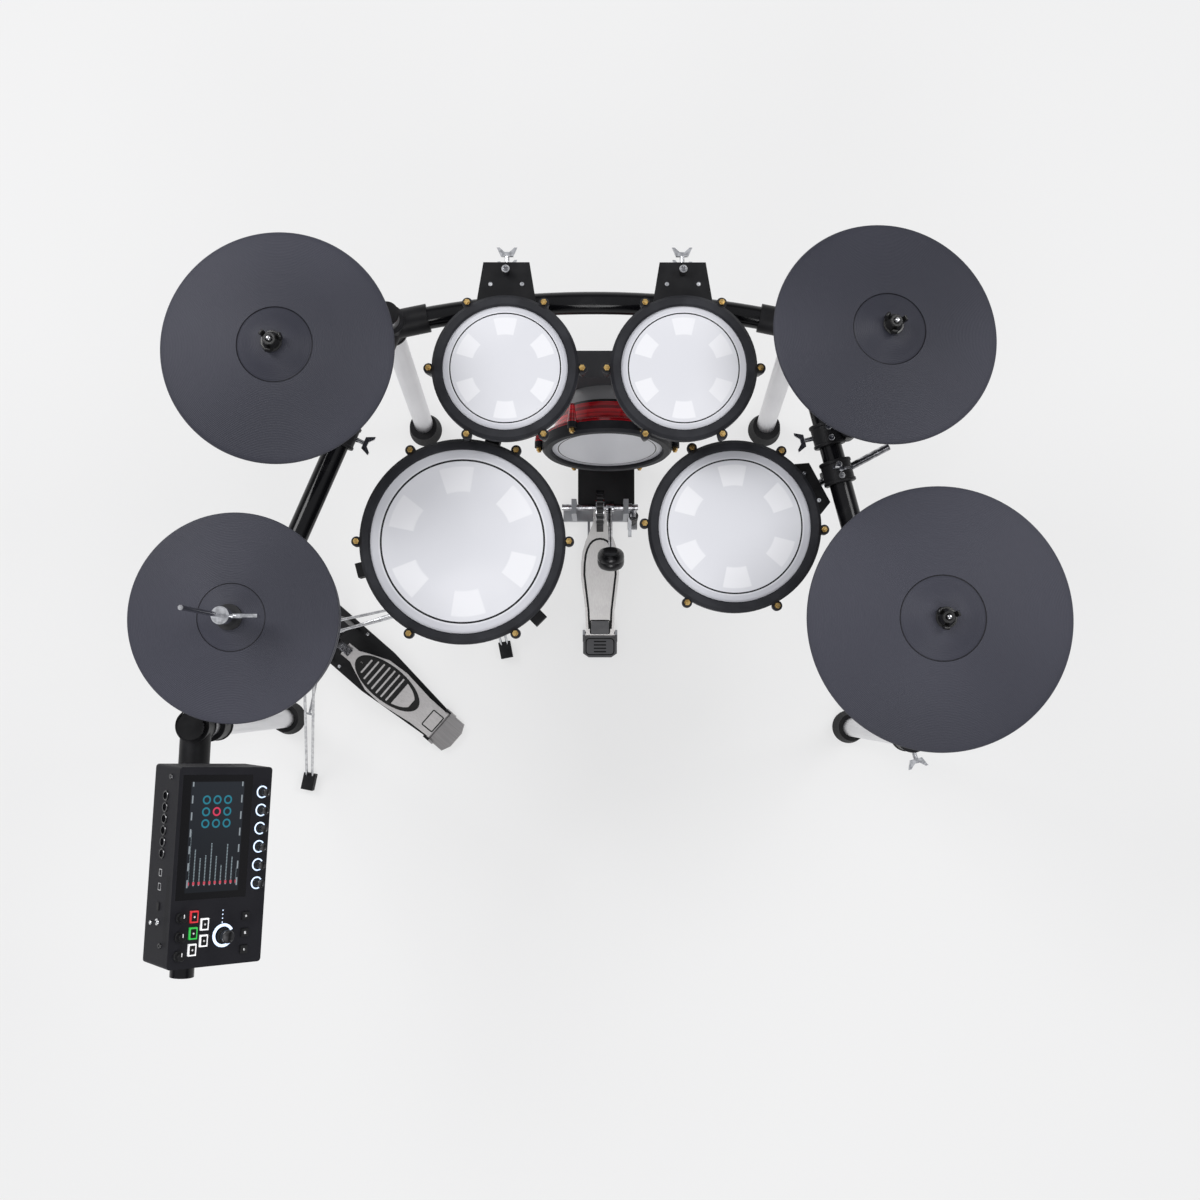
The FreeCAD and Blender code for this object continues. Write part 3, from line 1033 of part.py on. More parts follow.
JACK_SHARE = 0.06
inward = module_face.multVec(Vector(1, 0, 0))
for index in range(JACKS):
    row = float(d.jack_pitch * (JACKS - 1 - index) + d.module_length * JACK_SHARE)
    middle = module_place.multVec(Vector(-float(d.module_width / 2), row, -float(d.module_depth) / 2))
    mouth = middle - inward * float(d.overrun)
    pockets.append(rod("jack_%d" % index, mouth, middle + inward * float(d.jack_depth), d.jack_radius))
node("module_case", cut("module_case_cut", case_body, *pockets))
node("touch_screen", block("touch_screen_glass", d.screen_width, screen_length, d.screen_glass,
                           on_panel(SCREEN_SHARE, -d.screen_glass)))


KNOB_SHARES = ((1, 0.25), (0.8, 0.3), (0.8, 0.94), (0.7, 1), (0, 1))


def knob(name, radius, height, shares):
    """A drafted knob that turns just clear of the panel."""
    outline = [(0, d.run_gap), (radius, d.run_gap)]
    outline += [(radius * out, height * up) for out, up in KNOB_SHARES]
    return node(name, turned(name + "_turn", outline, on_panel(shares, 0)))


for index, shares in enumerate(ENCODER_SHARES):
    knob("encoder_%d" % (index + 1), d.encoder_radius, d.encoder_height, shares)
knob("main_encoder", d.main_radius, d.main_height, MAIN_SHARE)
for index, shares in enumerate(POT_SHARES):
    knob("pot_%d" % (index + 1), d.pot_radius, d.pot_height, shares)

# Module bracket: a collar on the arm tube, a neck square to the case's back and a fixing plate.
back_normal = module_face.multVec(Vector(0, 0, -1))
back_middle = module_place.multVec(Vector(0, 0, -float(d.module_depth + d.fit_gap)))
arm_near = arm_start + arm_run * ((back_middle.y - arm_start.y) / arm_run.y)
level = arm_near - back_middle
neck_seat = arm_near - back_normal * level.dot(back_normal)
neck = rod("bracket_neck", arm_near, neck_seat, d.neck_radius)
fixing = block("bracket_plate", d.plate_width, d.plate_side, d.plate_thickness, Placement(
    neck_seat + back_normal * float(d.plate_thickness), module_face))
band = sleeve_round("bracket_band", arm_near, arm_run, d.collar_length, collar)
clamps.append(cut("module_bracket", fuse("module_bracket_solid", band, neck, fixing), sleeve_round(
    "bracket_bore", arm_near, arm_run, d.collar_length + d.overrun * 2, bore)))

# Groups of like pieces
node("rubber_feet", group("rubber_feet_group", feet + caps))
node("rack_clamps", group("rack_clamps_group", clamps))
node("wing_bolts", group("wing_bolts_group", wing_bolts))
node("drum_hoops", group("drum_hoops_group", hoops))
node("drum_heads", group("drum_heads_group", heads))
node("tension_rods", group("tension_rods_group", rods))
node("drum_triggers", group("drum_triggers_group", triggers))
node("tom_brackets", group("tom_brackets_group", brackets))
node("tom_rods", group("tom_rods_group", l_rods))


# Check every object, then write one file for each sub-part.
doc.recompute()
for item in doc.Objects:
    if "Invalid" in item.State or "Error" in item.State:
        raise RuntimeError("%s failed: %s" % (item.Label, item.State))
os.makedirs("parts", exist_ok=True)
for name, piece in NODES.items():
    if piece.Shape.isNull() or not piece.Shape.isValid():
        raise RuntimeError("%s has no valid shape" % name)
    piece.Shape.exportStep("parts/%s.step" % name)
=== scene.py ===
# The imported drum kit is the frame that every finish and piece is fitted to, in metres, with +Z up
# and the drummer's seat towards -Y. Places of moving pieces are read from the record's own joints.
import json
import math

import bpy
from mathutils import Matrix, Vector


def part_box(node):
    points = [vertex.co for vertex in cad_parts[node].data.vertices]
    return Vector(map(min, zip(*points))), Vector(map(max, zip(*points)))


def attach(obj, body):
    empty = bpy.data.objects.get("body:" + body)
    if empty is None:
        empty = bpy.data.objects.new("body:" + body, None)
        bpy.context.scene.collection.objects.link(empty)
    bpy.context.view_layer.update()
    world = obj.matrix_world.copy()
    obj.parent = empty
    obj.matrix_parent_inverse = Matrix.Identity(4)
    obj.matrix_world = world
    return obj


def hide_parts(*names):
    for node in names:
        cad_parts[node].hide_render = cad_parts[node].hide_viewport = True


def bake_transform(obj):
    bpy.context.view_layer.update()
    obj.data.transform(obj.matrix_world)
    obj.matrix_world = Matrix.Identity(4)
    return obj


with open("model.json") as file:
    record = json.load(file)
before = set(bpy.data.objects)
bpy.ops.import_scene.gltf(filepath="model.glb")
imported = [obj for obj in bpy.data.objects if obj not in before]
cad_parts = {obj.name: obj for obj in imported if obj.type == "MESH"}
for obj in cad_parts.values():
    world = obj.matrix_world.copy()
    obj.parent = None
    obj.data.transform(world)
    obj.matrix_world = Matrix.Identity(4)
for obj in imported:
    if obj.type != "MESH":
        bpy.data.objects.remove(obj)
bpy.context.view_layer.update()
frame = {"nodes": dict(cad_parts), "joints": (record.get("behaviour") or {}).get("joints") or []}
scene = bpy.context.scene
scene.view_settings.view_transform = "Standard"
joint = {row["name"]: row for row in frame["joints"]}

# It leans towards the rear tube by 90 pixels at a focal length of 1440.
CAMERA_PLACE = (0.0327, -0.13936, 3.0)
CAMERA_LEAN = math.atan(90 / 1440)
bpy.ops.object.select_all(action="DESELECT")
bpy.ops.object.camera_add(location=CAMERA_PLACE, rotation=(CAMERA_LEAN, 0, 0))
camera = bpy.context.object
camera.data.sensor_width = 36
camera.data.lens = 43.2
camera.data.clip_end = 60
scene.camera = camera


# The studio: a wide pale floor that keeps a soft shadow, a pale sky that is darker at its sides so
# that metal shows some contrast, and three soft lamps above the camera.
class Signal:
    """A value in a node tree. Arithmetic on it adds Math nodes."""

    def __init__(self, nodes, socket):
        self.nodes = nodes
        self.socket = socket

    def math(self, operation, *others):
        return self.nodes.node("ShaderNodeMath", {"operation": operation}, dict(enumerate((self, *others))))

    def __add__(self, other):
        return self.math("ADD", other)

    def __sub__(self, other):
        return self.math("SUBTRACT", other)

    def __rsub__(self, other):
        return self * -1 + other

    def __mul__(self, other):
        return self.math("MULTIPLY", other)

    def __truediv__(self, other):
        return self.math("DIVIDE", other)

    def __lt__(self, other):
        return self.math("LESS_THAN", other)

    def __gt__(self, other):
        return self.math("GREATER_THAN", other)

    def size(self):
        return self.math("ABSOLUTE")

    def wave(self):
        return self.math("SINE")

    def beat(self, pitch):
        """A sine along the value that repeats at each pitch."""
        return (self * (2 * math.pi / pitch)).wave()

    def most(self, other):
        return self.math("MAXIMUM", other)

    def root(self):
        return self.math("SQRT")

    def soft(self, low, high):
        """From 0 at low to 1 at high, eased at both ends."""
        return self.nodes.node("ShaderNodeMapRange", {"interpolation_type": "SMOOTHSTEP"}, {
            "Value": self, "From Min": low, "From Max": high})

    __radd__ = __add__


class Nodes:
    """A node tree, with short ways to add to it."""

    def __init__(self, tree):
        self.tree = tree

    def link(self, socket, value):
        if isinstance(value, Signal):
            self.tree.links.new(value.socket, socket)
        else:
            socket.default_value = value

    def node(self, kind, settings, sockets, output=0):
        item = self.tree.nodes.new(kind)
        for name, value in settings.items():
            setattr(item, name, value)
        for name, value in sockets.items():
            self.link(item.inputs[name], value)
        return Signal(self, item.outputs[output])

    def parts(self, vector):
        item = self.tree.nodes.new("ShaderNodeSeparateXYZ")
        self.link(item.inputs[0], vector)
        return [Signal(self, output) for output in item.outputs]


class Finish(Nodes):
    """One procedural surface: a material, its shader and the nodes that feed it."""

    def __init__(self, name, colour, roughness, metal=0.0, coat=0.0, shine=0.5, glow=0.0):
        self.material = bpy.data.materials.new(name)
        self.material.use_nodes = True
        super().__init__(self.material.node_tree)
        self.shader = self.tree.nodes["Principled BSDF"]
        self.feed("Base Color", (*colour, 1))
        self.feed("Roughness", roughness)
        self.feed("Metallic", metal)
        self.feed("Coat Weight", coat)
        self.feed("Specular IOR Level", shine)
        self.feed("Emission Strength", glow)

    def feed(self, socket, value):
        self.link(self.shader.inputs[socket], value)

    def place(self, centre=(0, 0, 0), turn=(0, 0, 0), stretch=(1, 1, 1)):
        """Object coordinates, counted from a centre, along turned axes."""
        spot = self.node("ShaderNodeTexCoord", {}, {}, "Object")
        return self.node("ShaderNodeMapping", {"vector_type": "TEXTURE"}, {
            "Vector": spot, "Location": centre, "Rotation": turn, "Scale": stretch})

    def noise(self, vector, scale, detail=2.0):
        return self.node("ShaderNodeTexNoise", {}, {"Vector": vector, "Scale": scale, "Detail": detail})

    def streaks(self, value, scale, detail):
        return self.node("ShaderNodeTexNoise", {"noise_dimensions": "1D"}, {
            "W": value, "Scale": scale, "Detail": detail})

    def mix(self, factor, first, second):
        first = (*first, 1) if isinstance(first, tuple) and len(first) == 3 else first
        second = (*second, 1) if isinstance(second, tuple) and len(second) == 3 else second
        return self.node("ShaderNodeMix", {"data_type": "RGBA"}, {0: factor, 6: first, 7: second}, 2)

    def bump(self, height, strength, distance):
        self.feed("Normal", self.node("ShaderNodeBump", {}, {
            "Height": height, "Strength": strength, "Distance": distance}))


FLOOR_PALE = (0.885, 0.885, 0.885)
SHADOW_REACH = (1.6, 5)
GLOW_SHARE = (0.68, 1)
LAMP_AIM = Vector((0, 0.1, 0.6))
LAMPS = (((-2.2, 1.6, 3.7), 1.7, 70), ((2.3, 1.0, 3.8), 1.5, 44), ((0.2, -2.6, 3.6), 1.6, 40))
SKY_STEPS = ((0.16, 0.62), (0.34, 0.2), (0.5, 0.24), (0.68, 0.72))
bpy.ops.mesh.primitive_plane_add(size=40)
floor = bpy.context.object
floor.name = "floor"
ground = Finish("pale_floor", FLOOR_PALE, 0.9, shine=0)
seen = ground.node("ShaderNodeLightPath", {}, {}, "Is Camera Ray")
reflected = ground.node("ShaderNodeLightPath", {}, {}, "Is Glossy Ray")
spot = ground.node("ShaderNodeTexCoord", {}, {}, "Object")
reach = ground.node("ShaderNodeVectorMath", {"operation": "LENGTH"}, {0: spot}, "Value")
fade = ground.node("ShaderNodeMapRange", {}, {
    "Value": reach, "From Min": SHADOW_REACH[0], "From Max": SHADOW_REACH[1],
    "To Min": GLOW_SHARE[0], "To Max": GLOW_SHARE[1]})
glow = ground.node("ShaderNodeEmission", {}, {"Color": (*FLOOR_PALE, 1)})
matte = Signal(ground, ground.shader.outputs[0])
both = ground.node("ShaderNodeMixShader", {}, {0: seen.most(reflected) * fade, 1: matte, 2: glow})
ground.link(ground.tree.nodes["Material Output"].inputs["Surface"], both)
floor.data.materials.append(ground.material)

world = bpy.data.worlds.new("studio")
scene.world = world
world.use_nodes = True
sky = Nodes(world.node_tree)
height = sky.parts(sky.node("ShaderNodeTexCoord", {}, {}, "Generated"))[2]
ramp = sky.tree.nodes.new("ShaderNodeValToRGB")
ramp.color_ramp.elements[0].color = (0.8, 0.8, 0.81, 1)
ramp.color_ramp.elements[1].color = (0.74, 0.75, 0.78, 1)
for stop, level in SKY_STEPS:
    ramp.color_ramp.elements.new(stop).color = (level, level, level * 1.03, 1)
sky.link(ramp.inputs[0], height)
dome = sky.tree.nodes["Background"]
sky.link(dome.inputs["Color"], Signal(sky, ramp.outputs[0]))
sky.link(dome.inputs["Strength"], 0.78)
plain = sky.node("ShaderNodeBackground", {}, {"Color": (*FLOOR_PALE, 1)})
seen = sky.node("ShaderNodeLightPath", {}, {}, "Is Camera Ray")
both = sky.node("ShaderNodeMixShader", {}, {0: seen, 1: Signal(sky, dome.outputs[0]), 2: plain})
sky.link(sky.tree.nodes["World Output"].inputs["Surface"], both)
for spot, size, power in LAMPS:
    aim = (LAMP_AIM - Vector(spot)).to_track_quat("-Z", "Y")
    bpy.ops.object.light_add(type="AREA", location=spot, rotation=aim.to_euler())
    lamp = bpy.context.object.data
    lamp.energy = power
    lamp.size = size


# Rack posts: satin anodised aluminium tube, drawn along its length, so the finish has fine streaks
# that run with the tube.
def paint(piece, finish):
    """Give a piece one finish in place of any it has."""
    piece.data.materials.clear()
    piece.data.materials.append(finish.material)


def dress(finish, *nodes):
    """Give carried-over nodes their finish."""
    for name in nodes:
        paint(frame["nodes"][name], finish)


posts = Finish("satin_post_tube", (0.7, 0.695, 0.71), 0.34, metal=0.85)
streak = posts.noise(posts.place(stretch=(1, 1, 45)), 420)
cloud = posts.noise(posts.place(), 9)
posts.feed("Roughness", 0.26 + streak * 0.16)
posts.feed("Base Color", posts.mix(cloud, (0.64, 0.64, 0.66), (0.78, 0.775, 0.79)))
posts.bump(streak, 0.12, 0.0004)
dress(posts, "rack_posts")

# Rack tubes: steel tube with a thick gloss black coat. The coat has a slight orange peel and a little
# dust, and the cymbal arms carry the same coat.
tubes = Finish("gloss_black_tube", (0.006, 0.006, 0.007), 0.2, coat=0.08, shine=0.22)
peel = tubes.noise(tubes.place(), 260, 1)
dust = tubes.noise(tubes.place(), 34, 5).soft(0.5, 0.8)
tubes.feed("Roughness", 0.13 + dust * 0.16)
tubes.feed("Base Color", tubes.mix(dust, (0.005, 0.005, 0.006), (0.009, 0.009, 0.01)))
tubes.bump(peel, 0.06, 0.0006)
dress(tubes, "rear_tube", "left_tube", "right_tube", "module_arm_tube", "cymbal_arms")


# Clamps: glass-filled nylon collars and brackets, satin black with a fine moulded grain and shallow
# ribs round each collar.
def moulded(name, colour, pale, roughness, grain, depth, shine=0.16):
    """A moulded plastic or rubber skin with its grain and a slightly uneven sheen."""
    skin = Finish(name, colour, roughness, shine=shine)
    spot = skin.place()
    pits = skin.noise(spot, grain, 3)
    patch = skin.noise(spot, 22, 3)
    skin.feed("Base Color", skin.mix(patch.soft(0.35, 0.75), colour, pale))
    skin.feed("Roughness", roughness - 0.07 + patch * 0.14)
    skin.bump(pits, depth, 0.0006)
    return skin


clamp_skin = moulded("clamp_nylon", (0.01, 0.01, 0.011), (0.02, 0.02, 0.022), 0.42, 900, 0.3)
dress(clamp_skin, "rack_clamps")


# Wing bolts and the two stands are steel with chrome plate, which shows faint handling marks. The bolts are
# polished bright, and the tubes and folded legs of the stands have a duller plate.
def plated(name, dark, pale):
    """Bright plate with fine handling marks, and painted reflections: darker and paler streaks along its
    length.
    """
    skin = Finish(name, pale, 0.08, metal=1.0)
    marks = skin.noise(skin.place(), 70, 4)
    # Painted reflection: streaks along the length mix the dark and pale tones, standing in for the
    # reflections on a real plate.
    cloud = skin.noise(skin.place(stretch=(1, 1, 60)), 150, 1)
    skin.feed("Roughness", 0.13 + marks.soft(0.45, 0.8) * 0.14)
    skin.feed("Base Color", skin.mix(cloud.soft(0.3, 0.7), dark, pale))
    return skin


chrome = plated("polished_chrome", (0.44, 0.445, 0.46), (0.78, 0.785, 0.8))
dress(chrome, "wing_bolts")
leg_chrome = plated("stand_chrome", (0.46, 0.465, 0.48), (0.66, 0.665, 0.68))
dress(leg_chrome, "snare_stand", "hihat_stand")

# Feet, post caps, basket grips and cymbal sleeves are moulded black rubber: dull, with a dry bloom.
# They are pushed over the ends of the tubes.
foot_rubber = moulded("foot_rubber", (0.01, 0.01, 0.011), (0.022, 0.022, 0.023), 0.68, 1300, 0.35)
dress(foot_rubber, "rubber_feet", "snare_grips", "cymbal_sleeves")

# Drum shells: shallow satin black mouldings with lugs. The kick's shell is lacquered deep red with dark
# streaks round it, then a black band and a grey rear band where it meets its tower.
shell_skin = moulded("drum_shell_satin", (0.01, 0.01, 0.011), (0.018, 0.018, 0.02), 0.36, 700, 0.2)
dress(shell_skin, "snare_shell", "left_tom_shell", "right_tom_shell", "floor_tom_shell")
QUARTER = math.radians(90)
KICK_LEAN = math.radians(9)
RED_ENDS = -0.014
GREY_STARTS = -0.019
lacquer = Finish("red_lacquer", (0.6, 0.008, 0.016), 0.14, coat=0.35)
kick_low, kick_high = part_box("kick_shell")
kick_middle = (kick_low + kick_high) / 2
sunk = lacquer.parts(lacquer.place(kick_middle, (QUARTER - KICK_LEAN, 0, 0)))[2]
red = lacquer.mix(lacquer.streaks(sunk, 130, 3).soft(0.4, 0.62), (0.24, 0.003, 0.008), (0.8, 0.012, 0.024))
banded = lacquer.mix(sunk < RED_ENDS, red, (0.008, 0.008, 0.009))
cloudy = lacquer.noise(lacquer.place(), 30)
lacquer.feed("Base Color", lacquer.mix(sunk < GREY_STARTS, banded, (0.3, 0.3, 0.31)))
lacquer.feed("Roughness", 0.1 + cloudy * 0.08 + (sunk < RED_ENDS) * 0.3)
dress(lacquer, "kick_shell")

# Hoops: steel rims in a thick moulded jacket of black rubber, a little blue and a little greyer in patches.
# The tension rods pull them down over the heads.
hoop_skin = moulded("hoop_rubber", (0.014, 0.0145, 0.018), (0.026, 0.027, 0.032), 0.5, 1500, 0.3, 0.22)
dress(hoop_skin, "drum_hoops")

# Tension rods: brass-plated steel key rods, unevenly tarnished. They pass through the hoops and screw into
# the lugs of the shells.
brass = Finish("brass_key_rod", (0.66, 0.43, 0.14), 0.24, metal=1.0)
tarnish = brass.noise(brass.place(), 160, 4)
brass.feed("Base Color", brass.mix(tarnish.soft(0.3, 0.7), (0.42, 0.26, 0.08), (0.8, 0.56, 0.22)))
brass.feed("Roughness", 0.18 + tarnish * 0.16)
dress(brass, "tension_rods")

# Triggers: a bar across each shell carries a cone of grey open-cell foam, which is glued to it and touches
# the head from below. The heads hide them.
foam = moulded("trigger_foam", (0.08, 0.08, 0.085), (0.12, 0.12, 0.125), 0.85, 500, 0.6)
dress(foam, "drum_triggers")


# Heads: woven white mesh laminated to a clear film, with a black printed ring near the edge, a greyer
# border and paler panels where the film is doubled. They stretch flat over the bearing edge and turn
# down at the rim.
def begin(name):
    """Start a piece in edit mode from one point at the origin."""
    bpy.ops.object.select_all(action="DESELECT")
    bpy.ops.mesh.primitive_plane_add(size=0.002)
    piece = bpy.context.object
    piece.name = name
    piece.data.name = name
    bpy.ops.object.mode_set(mode="EDIT")
    bpy.ops.mesh.select_all(action="SELECT")
    bpy.ops.mesh.merge(type="CENTER")
    return piece


def draw_line(points):
    """Draw edges from the first point to the last, and select them all."""
    here = Vector(points[0])
    bpy.ops.transform.translate(value=here)
    for point in points[1:]:
        there = Vector(point)
        bpy.ops.mesh.extrude_vertices_move(TRANSFORM_OT_translate={"value": there - here})
        here = there
    bpy.ops.mesh.select_all(action="SELECT")


WELD = 0.000002
SMOOTH_ANGLE = math.radians(35)


def close(piece, place):
    """Turn every face outwards and set the shaped mesh in its place."""
    bpy.ops.mesh.select_all(action="SELECT")
    bpy.ops.mesh.remove_doubles(threshold=WELD)
    bpy.ops.mesh.normals_make_consistent(inside=False)
    bpy.ops.object.mode_set(mode="OBJECT")
    piece.matrix_world = place
    bpy.ops.object.transform_apply(location=True, rotation=True, scale=True)
    bpy.ops.object.shade_smooth_by_angle(angle=SMOOTH_ANGLE)
    return piece


def at(spot):
    """A shift from the origin to a spot."""
    return Matrix.Translation(spot)


def turned(axis, angle):
    """A turn about one axis."""
    return Matrix.Rotation(angle, 4, axis)


def lathe(name, profile, steps, place):
    """Turn a profile of radii and heights round its own axis."""
    piece = begin(name)
    draw_line([(radius, 0, height) for radius, height in profile])
    bpy.ops.mesh.spin(steps=steps, angle=2 * math.pi, center=(0, 0, 0), axis=(0, 0, 1))
    return close(piece, place)


def settle(piece, finish, body="stand"):
    """Finish a new piece: its surface and the body it rides on."""
    paint(piece, finish)
    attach(piece, body)
    return piece


RING_AT = 0.885
RING_HALF = 0.0105
PANEL_COUNT = 6
WEAVE = 5200


def head_skin(name, place, radius, panels):
    """The head's print and weave, with painted sheen in pale patches, centred on its own drum."""
    skin = Finish(name, (0.82, 0.82, 0.84), 0.3, coat=0.15, shine=0.35)
    across, along = skin.parts(skin.place(place.to_translation(), place.to_euler()))[:2]
    out = (across * across + along * along).root() / radius
    border = out.soft(0.9, 0.925)
    ring = (out - RING_AT).size() < RING_HALF
    tone = skin.mix(border, (0.69, 0.695, 0.73), (0.55, 0.555, 0.595))
    if panels is not None:
        angle = along.math("ARCTAN2", across)
        beat = (angle * PANEL_COUNT + panels).wave()
        wedge = beat.soft(0.08, 0.24) * out.soft(0.53, 0.555) * (1 - out.soft(0.805, 0.83))
        tone = skin.mix(wedge * 0.6, tone, (0.9, 0.9, 0.92))
    # Painted sheen: broad pale patches across the head stand in for the light on the mesh.
    painted_head_sheen = skin.noise(skin.place(), 7, 1)
    tone = skin.mix(painted_head_sheen.soft(0.35, 0.75) * 0.35, tone, (0.84, 0.84, 0.87))
    skin.feed("Base Color", skin.mix(ring, tone, (0.008, 0.008, 0.009)))
    weave = (across * WEAVE).wave() * (along * WEAVE).wave()
    skin.bump(weave, 0.1, 0.0002)
    skin.feed("Roughness", 0.28 + weave.size() * 0.06)
    return skin


HEAD_STEPS = 96
HEAD_DROP = 0.006
HEAD_DEPTH = 0.0012
HOOP_RISE = 0.0073
KICK_CENTRE = Vector((0.0457, 0.29764, 0.37))
HEAD_SHARES = ((0, 0), (0.45, 0), (0.8, 0), (0.965, 0.0001), (0.985, 0.0005), (1, 0.0006), (1, HEAD_DEPTH),
               (0.8, HEAD_DEPTH), (0, HEAD_DEPTH))
HEADS = (("snare", 0.1524, -2.09), ("left_tom", 0.1016, -1.57), ("right_tom", 0.1016, -1.57),
         ("floor_tom", 0.127, -1.8), ("kick", 0.1016, None))
for name, radius, panels in HEADS:
    if name == "kick":
        place = at(KICK_CENTRE) @ turned("X", QUARTER - KICK_LEAN) @ at((0, 0, -HEAD_DROP))
    else:
        low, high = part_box(name + "_shell")
        middle = (low + high) / 2
        place = at((middle.x, middle.y, high.z + HOOP_RISE - HEAD_DROP))
    profile = [(radius * share, -drop) for share, drop in HEAD_SHARES]
    head = lathe(name + "_mesh_head", profile, HEAD_STEPS, place)
    settle(head, head_skin(name + "_head_print", place, radius, panels))
    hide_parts("drum_heads")


# Tom brackets: black cast blocks bolted to the shells. Each has two screws in its top and grips a plated
# rod, whose open end is a bright turned ring.
def mm(*points):
    """The points of a profile or an outline, from millimetres to metres."""
    return [(x / 1000, y / 1000) for x, y in points]


bracket_paint = moulded("bracket_paint", (0.009, 0.009, 0.01), (0.016, 0.016, 0.017), 0.32, 400, 0.15)
dress(bracket_paint, "tom_brackets")
rod_plate = plated("plated_rod", (0.22, 0.22, 0.23), (0.55, 0.55, 0.57))
dress(rod_plate, "tom_rods", "beater_shaft", "hihat_rod")
SCREW_HEAD = mm((0, 0.8), (1.3, 0.8), (1.7, 2.2), (3.4, 2.2), (4.1, 1.4), (4.3, 0), (0, 0))
ROD_END = mm((6.2, 0), (6.5, 0.4), (6.5, 3.6), (6, 4.2), (4.4, 4.2), (4, 3.6), (4, -6), (6.2, -6),
             (6.2, 0))
SCREW_STEPS = 24
ROD_STEPS = 32
BRACKET_SCREWS = (
    (-0.1473, 0.526, 0.6703), (-0.0953, 0.526, 0.6703), (0.1427, 0.526, 0.6703), (0.1947, 0.526, 0.6703),
    (0.3797, 0.2279, 0.571), (0.4041, 0.182, 0.571))
ROD_TOPS = ((-0.1213, 0.54613, 0.688), (0.1687, 0.54586, 0.688))
for number, spot in enumerate(BRACKET_SCREWS):
    screw = lathe("bracket_screw_%d" % number, SCREW_HEAD, SCREW_STEPS, at(spot))
    settle(screw, chrome)
for number, spot in enumerate(ROD_TOPS):
    ring = lathe("tom_rod_end_%d" % number, ROD_END, ROD_STEPS, at(spot))
    settle(ring, chrome)


# Clamp ridges and bolts: each collar is moulded with a raised ridge at both ends, and two plated socket
# bolts close the ones on level tubes.
def joined(name, pieces):
    """Join pieces of one finish into a single named piece."""
    bpy.ops.object.select_all(action="DESELECT")
    for piece in pieces:
        piece.select_set(True)
    bpy.context.view_layer.objects.active = pieces[0]
    bpy.ops.object.join()
    pieces[0].name = name
    pieces[0].data.name = name
    return pieces[0]


RIDGE = mm((25.2, -2.8), (26.2, -2.8), (27.2, -1.8), (27.2, 1.8), (26.2, 2.8), (25.2, 2.8), (25.2, -2.8))
SOCKET_BOLT = mm((0, 3.6), (2.2, 3.6), (2.4, 6), (4.5, 6), (5.1, 5.4), (5.1, -1.5), (0, -1.5))
RIDGE_STEPS = 56
BOLT_STEPS = 28
COLLAR_RADIUS = 0.0253
RIDGE_MARGIN = 0.0032
BOLT_SPREAD = 0.0095
LEVEL = 0.5
RIGHT_RUN = (-0.253, 0.968, 0)
LEFT_RUN = (0.394, 0.919, 0)
COLLARS = (
    ("left_rear", (-0.3233, 0.4776, 0.59), (0.017, 0.121, 0.992), 0.028),
    ("right_rear", (0.3677, 0.4776, 0.59), (-0.017, 0.121, 0.992), 0.028),
    ("left_front", (-0.6123, -0.1974, 0.59), (0, 0, 1), 0.028),
    ("right_front", (0.5487, -0.2154, 0.59), (0, 0, 1), 0.028),
    ("module_post", (-0.6123, -0.1961, 0.692), (0, 0, 1), 0.024),
    ("left_tom", (-0.118, 0.5103, 0.59), (0.996, 0.09, 0), 0.02),
    ("right_tom", (0.1654, 0.51, 0.59), (0.996, -0.092, 0), 0.02),
    ("floor_tom", (0.4332, 0.2269, 0.59), RIGHT_RUN, 0.02),
    ("left_crash", (-0.4025, 0.2926, 0.59), LEFT_RUN, 0.02),
    ("right_crash", (0.4165, 0.2906, 0.59), RIGHT_RUN, 0.02),
    ("ride", (0.5236, -0.1194, 0.59), RIGHT_RUN, 0.02),
    ("module", (-0.6202, -0.3918, 0.692), (0.041, 0.999, 0), 0.043))
for name, centre, run, half in COLLARS:
    run = Vector(run).normalized()
    turn = run.to_track_quat("Z", "Y").to_matrix().to_4x4()
    ends = [Vector(centre) + run * (half - RIDGE_MARGIN) * side for side in (-1, 1)]
    ridges = [lathe("ridge", RIDGE, RIDGE_STEPS, at(spot) @ turn) for spot in ends]
    settle(joined(name + "_clamp_ridges", ridges), clamp_skin)
    if abs(run.z) < LEVEL:
        top = Vector(centre) + Vector((0, 0, COLLAR_RADIUS))
        spots = [top + run * BOLT_SPREAD * side for side in (-1, 1)]
        bolts = [lathe("bolt", SOCKET_BOLT, BOLT_STEPS, at(spot)) for spot in spots]
        settle(joined(name + "_clamp_bolts", bolts), chrome)

# Kick tower: folded steel plate with a textured powder coat, grey on the sloping cap and black below it. The
# drum is bolted to its cap, and the pedal clamps to its foot.
COAT_TONES = ((0.009, 0.009, 0.01), (0.018, 0.018, 0.019))
CAP_STARTS = 0.4
powder = moulded("tower_powder_coat", *COAT_TONES, 0.46, 520, 0.45)
height = powder.parts(powder.place())[2]
coat = powder.mix(powder.noise(powder.place(), 22, 3), *COAT_TONES)
powder.feed("Base Color", powder.mix(height > CAP_STARTS, coat, (0.07, 0.07, 0.075)))
dress(powder, "kick_tower")


# Kick pedal: a grey sand-cast frame with a dark grey heel plate, and a footboard of bare aluminium brushed
# along its length, which turns on a pin in the heel. A black line runs round the board, and a tongue of the
# heel plate laps over it.
def plate(name, outline, thickness, place, band=0.0):
    """Cut a flat piece to an outline, or keep only a band along it, and raise it to its thickness."""
    piece = begin(name)
    draw_line([(x, y, 0) for x, y in outline])
    bpy.ops.mesh.edge_face_add()
    if band:
        bpy.ops.mesh.inset(thickness=band)
        bpy.ops.mesh.delete(type="FACE")
        bpy.ops.mesh.select_all(action="SELECT")
    bpy.ops.mesh.extrude_region_move(TRANSFORM_OT_translate={"value": (0, 0, thickness)})
    return close(piece, place)


def mirrored(side, *tip):
    """One side of an outline, its tip, and the same side again with the other sign."""
    return [*side, *tip, *[(x, -y) for x, y in reversed(side)]]


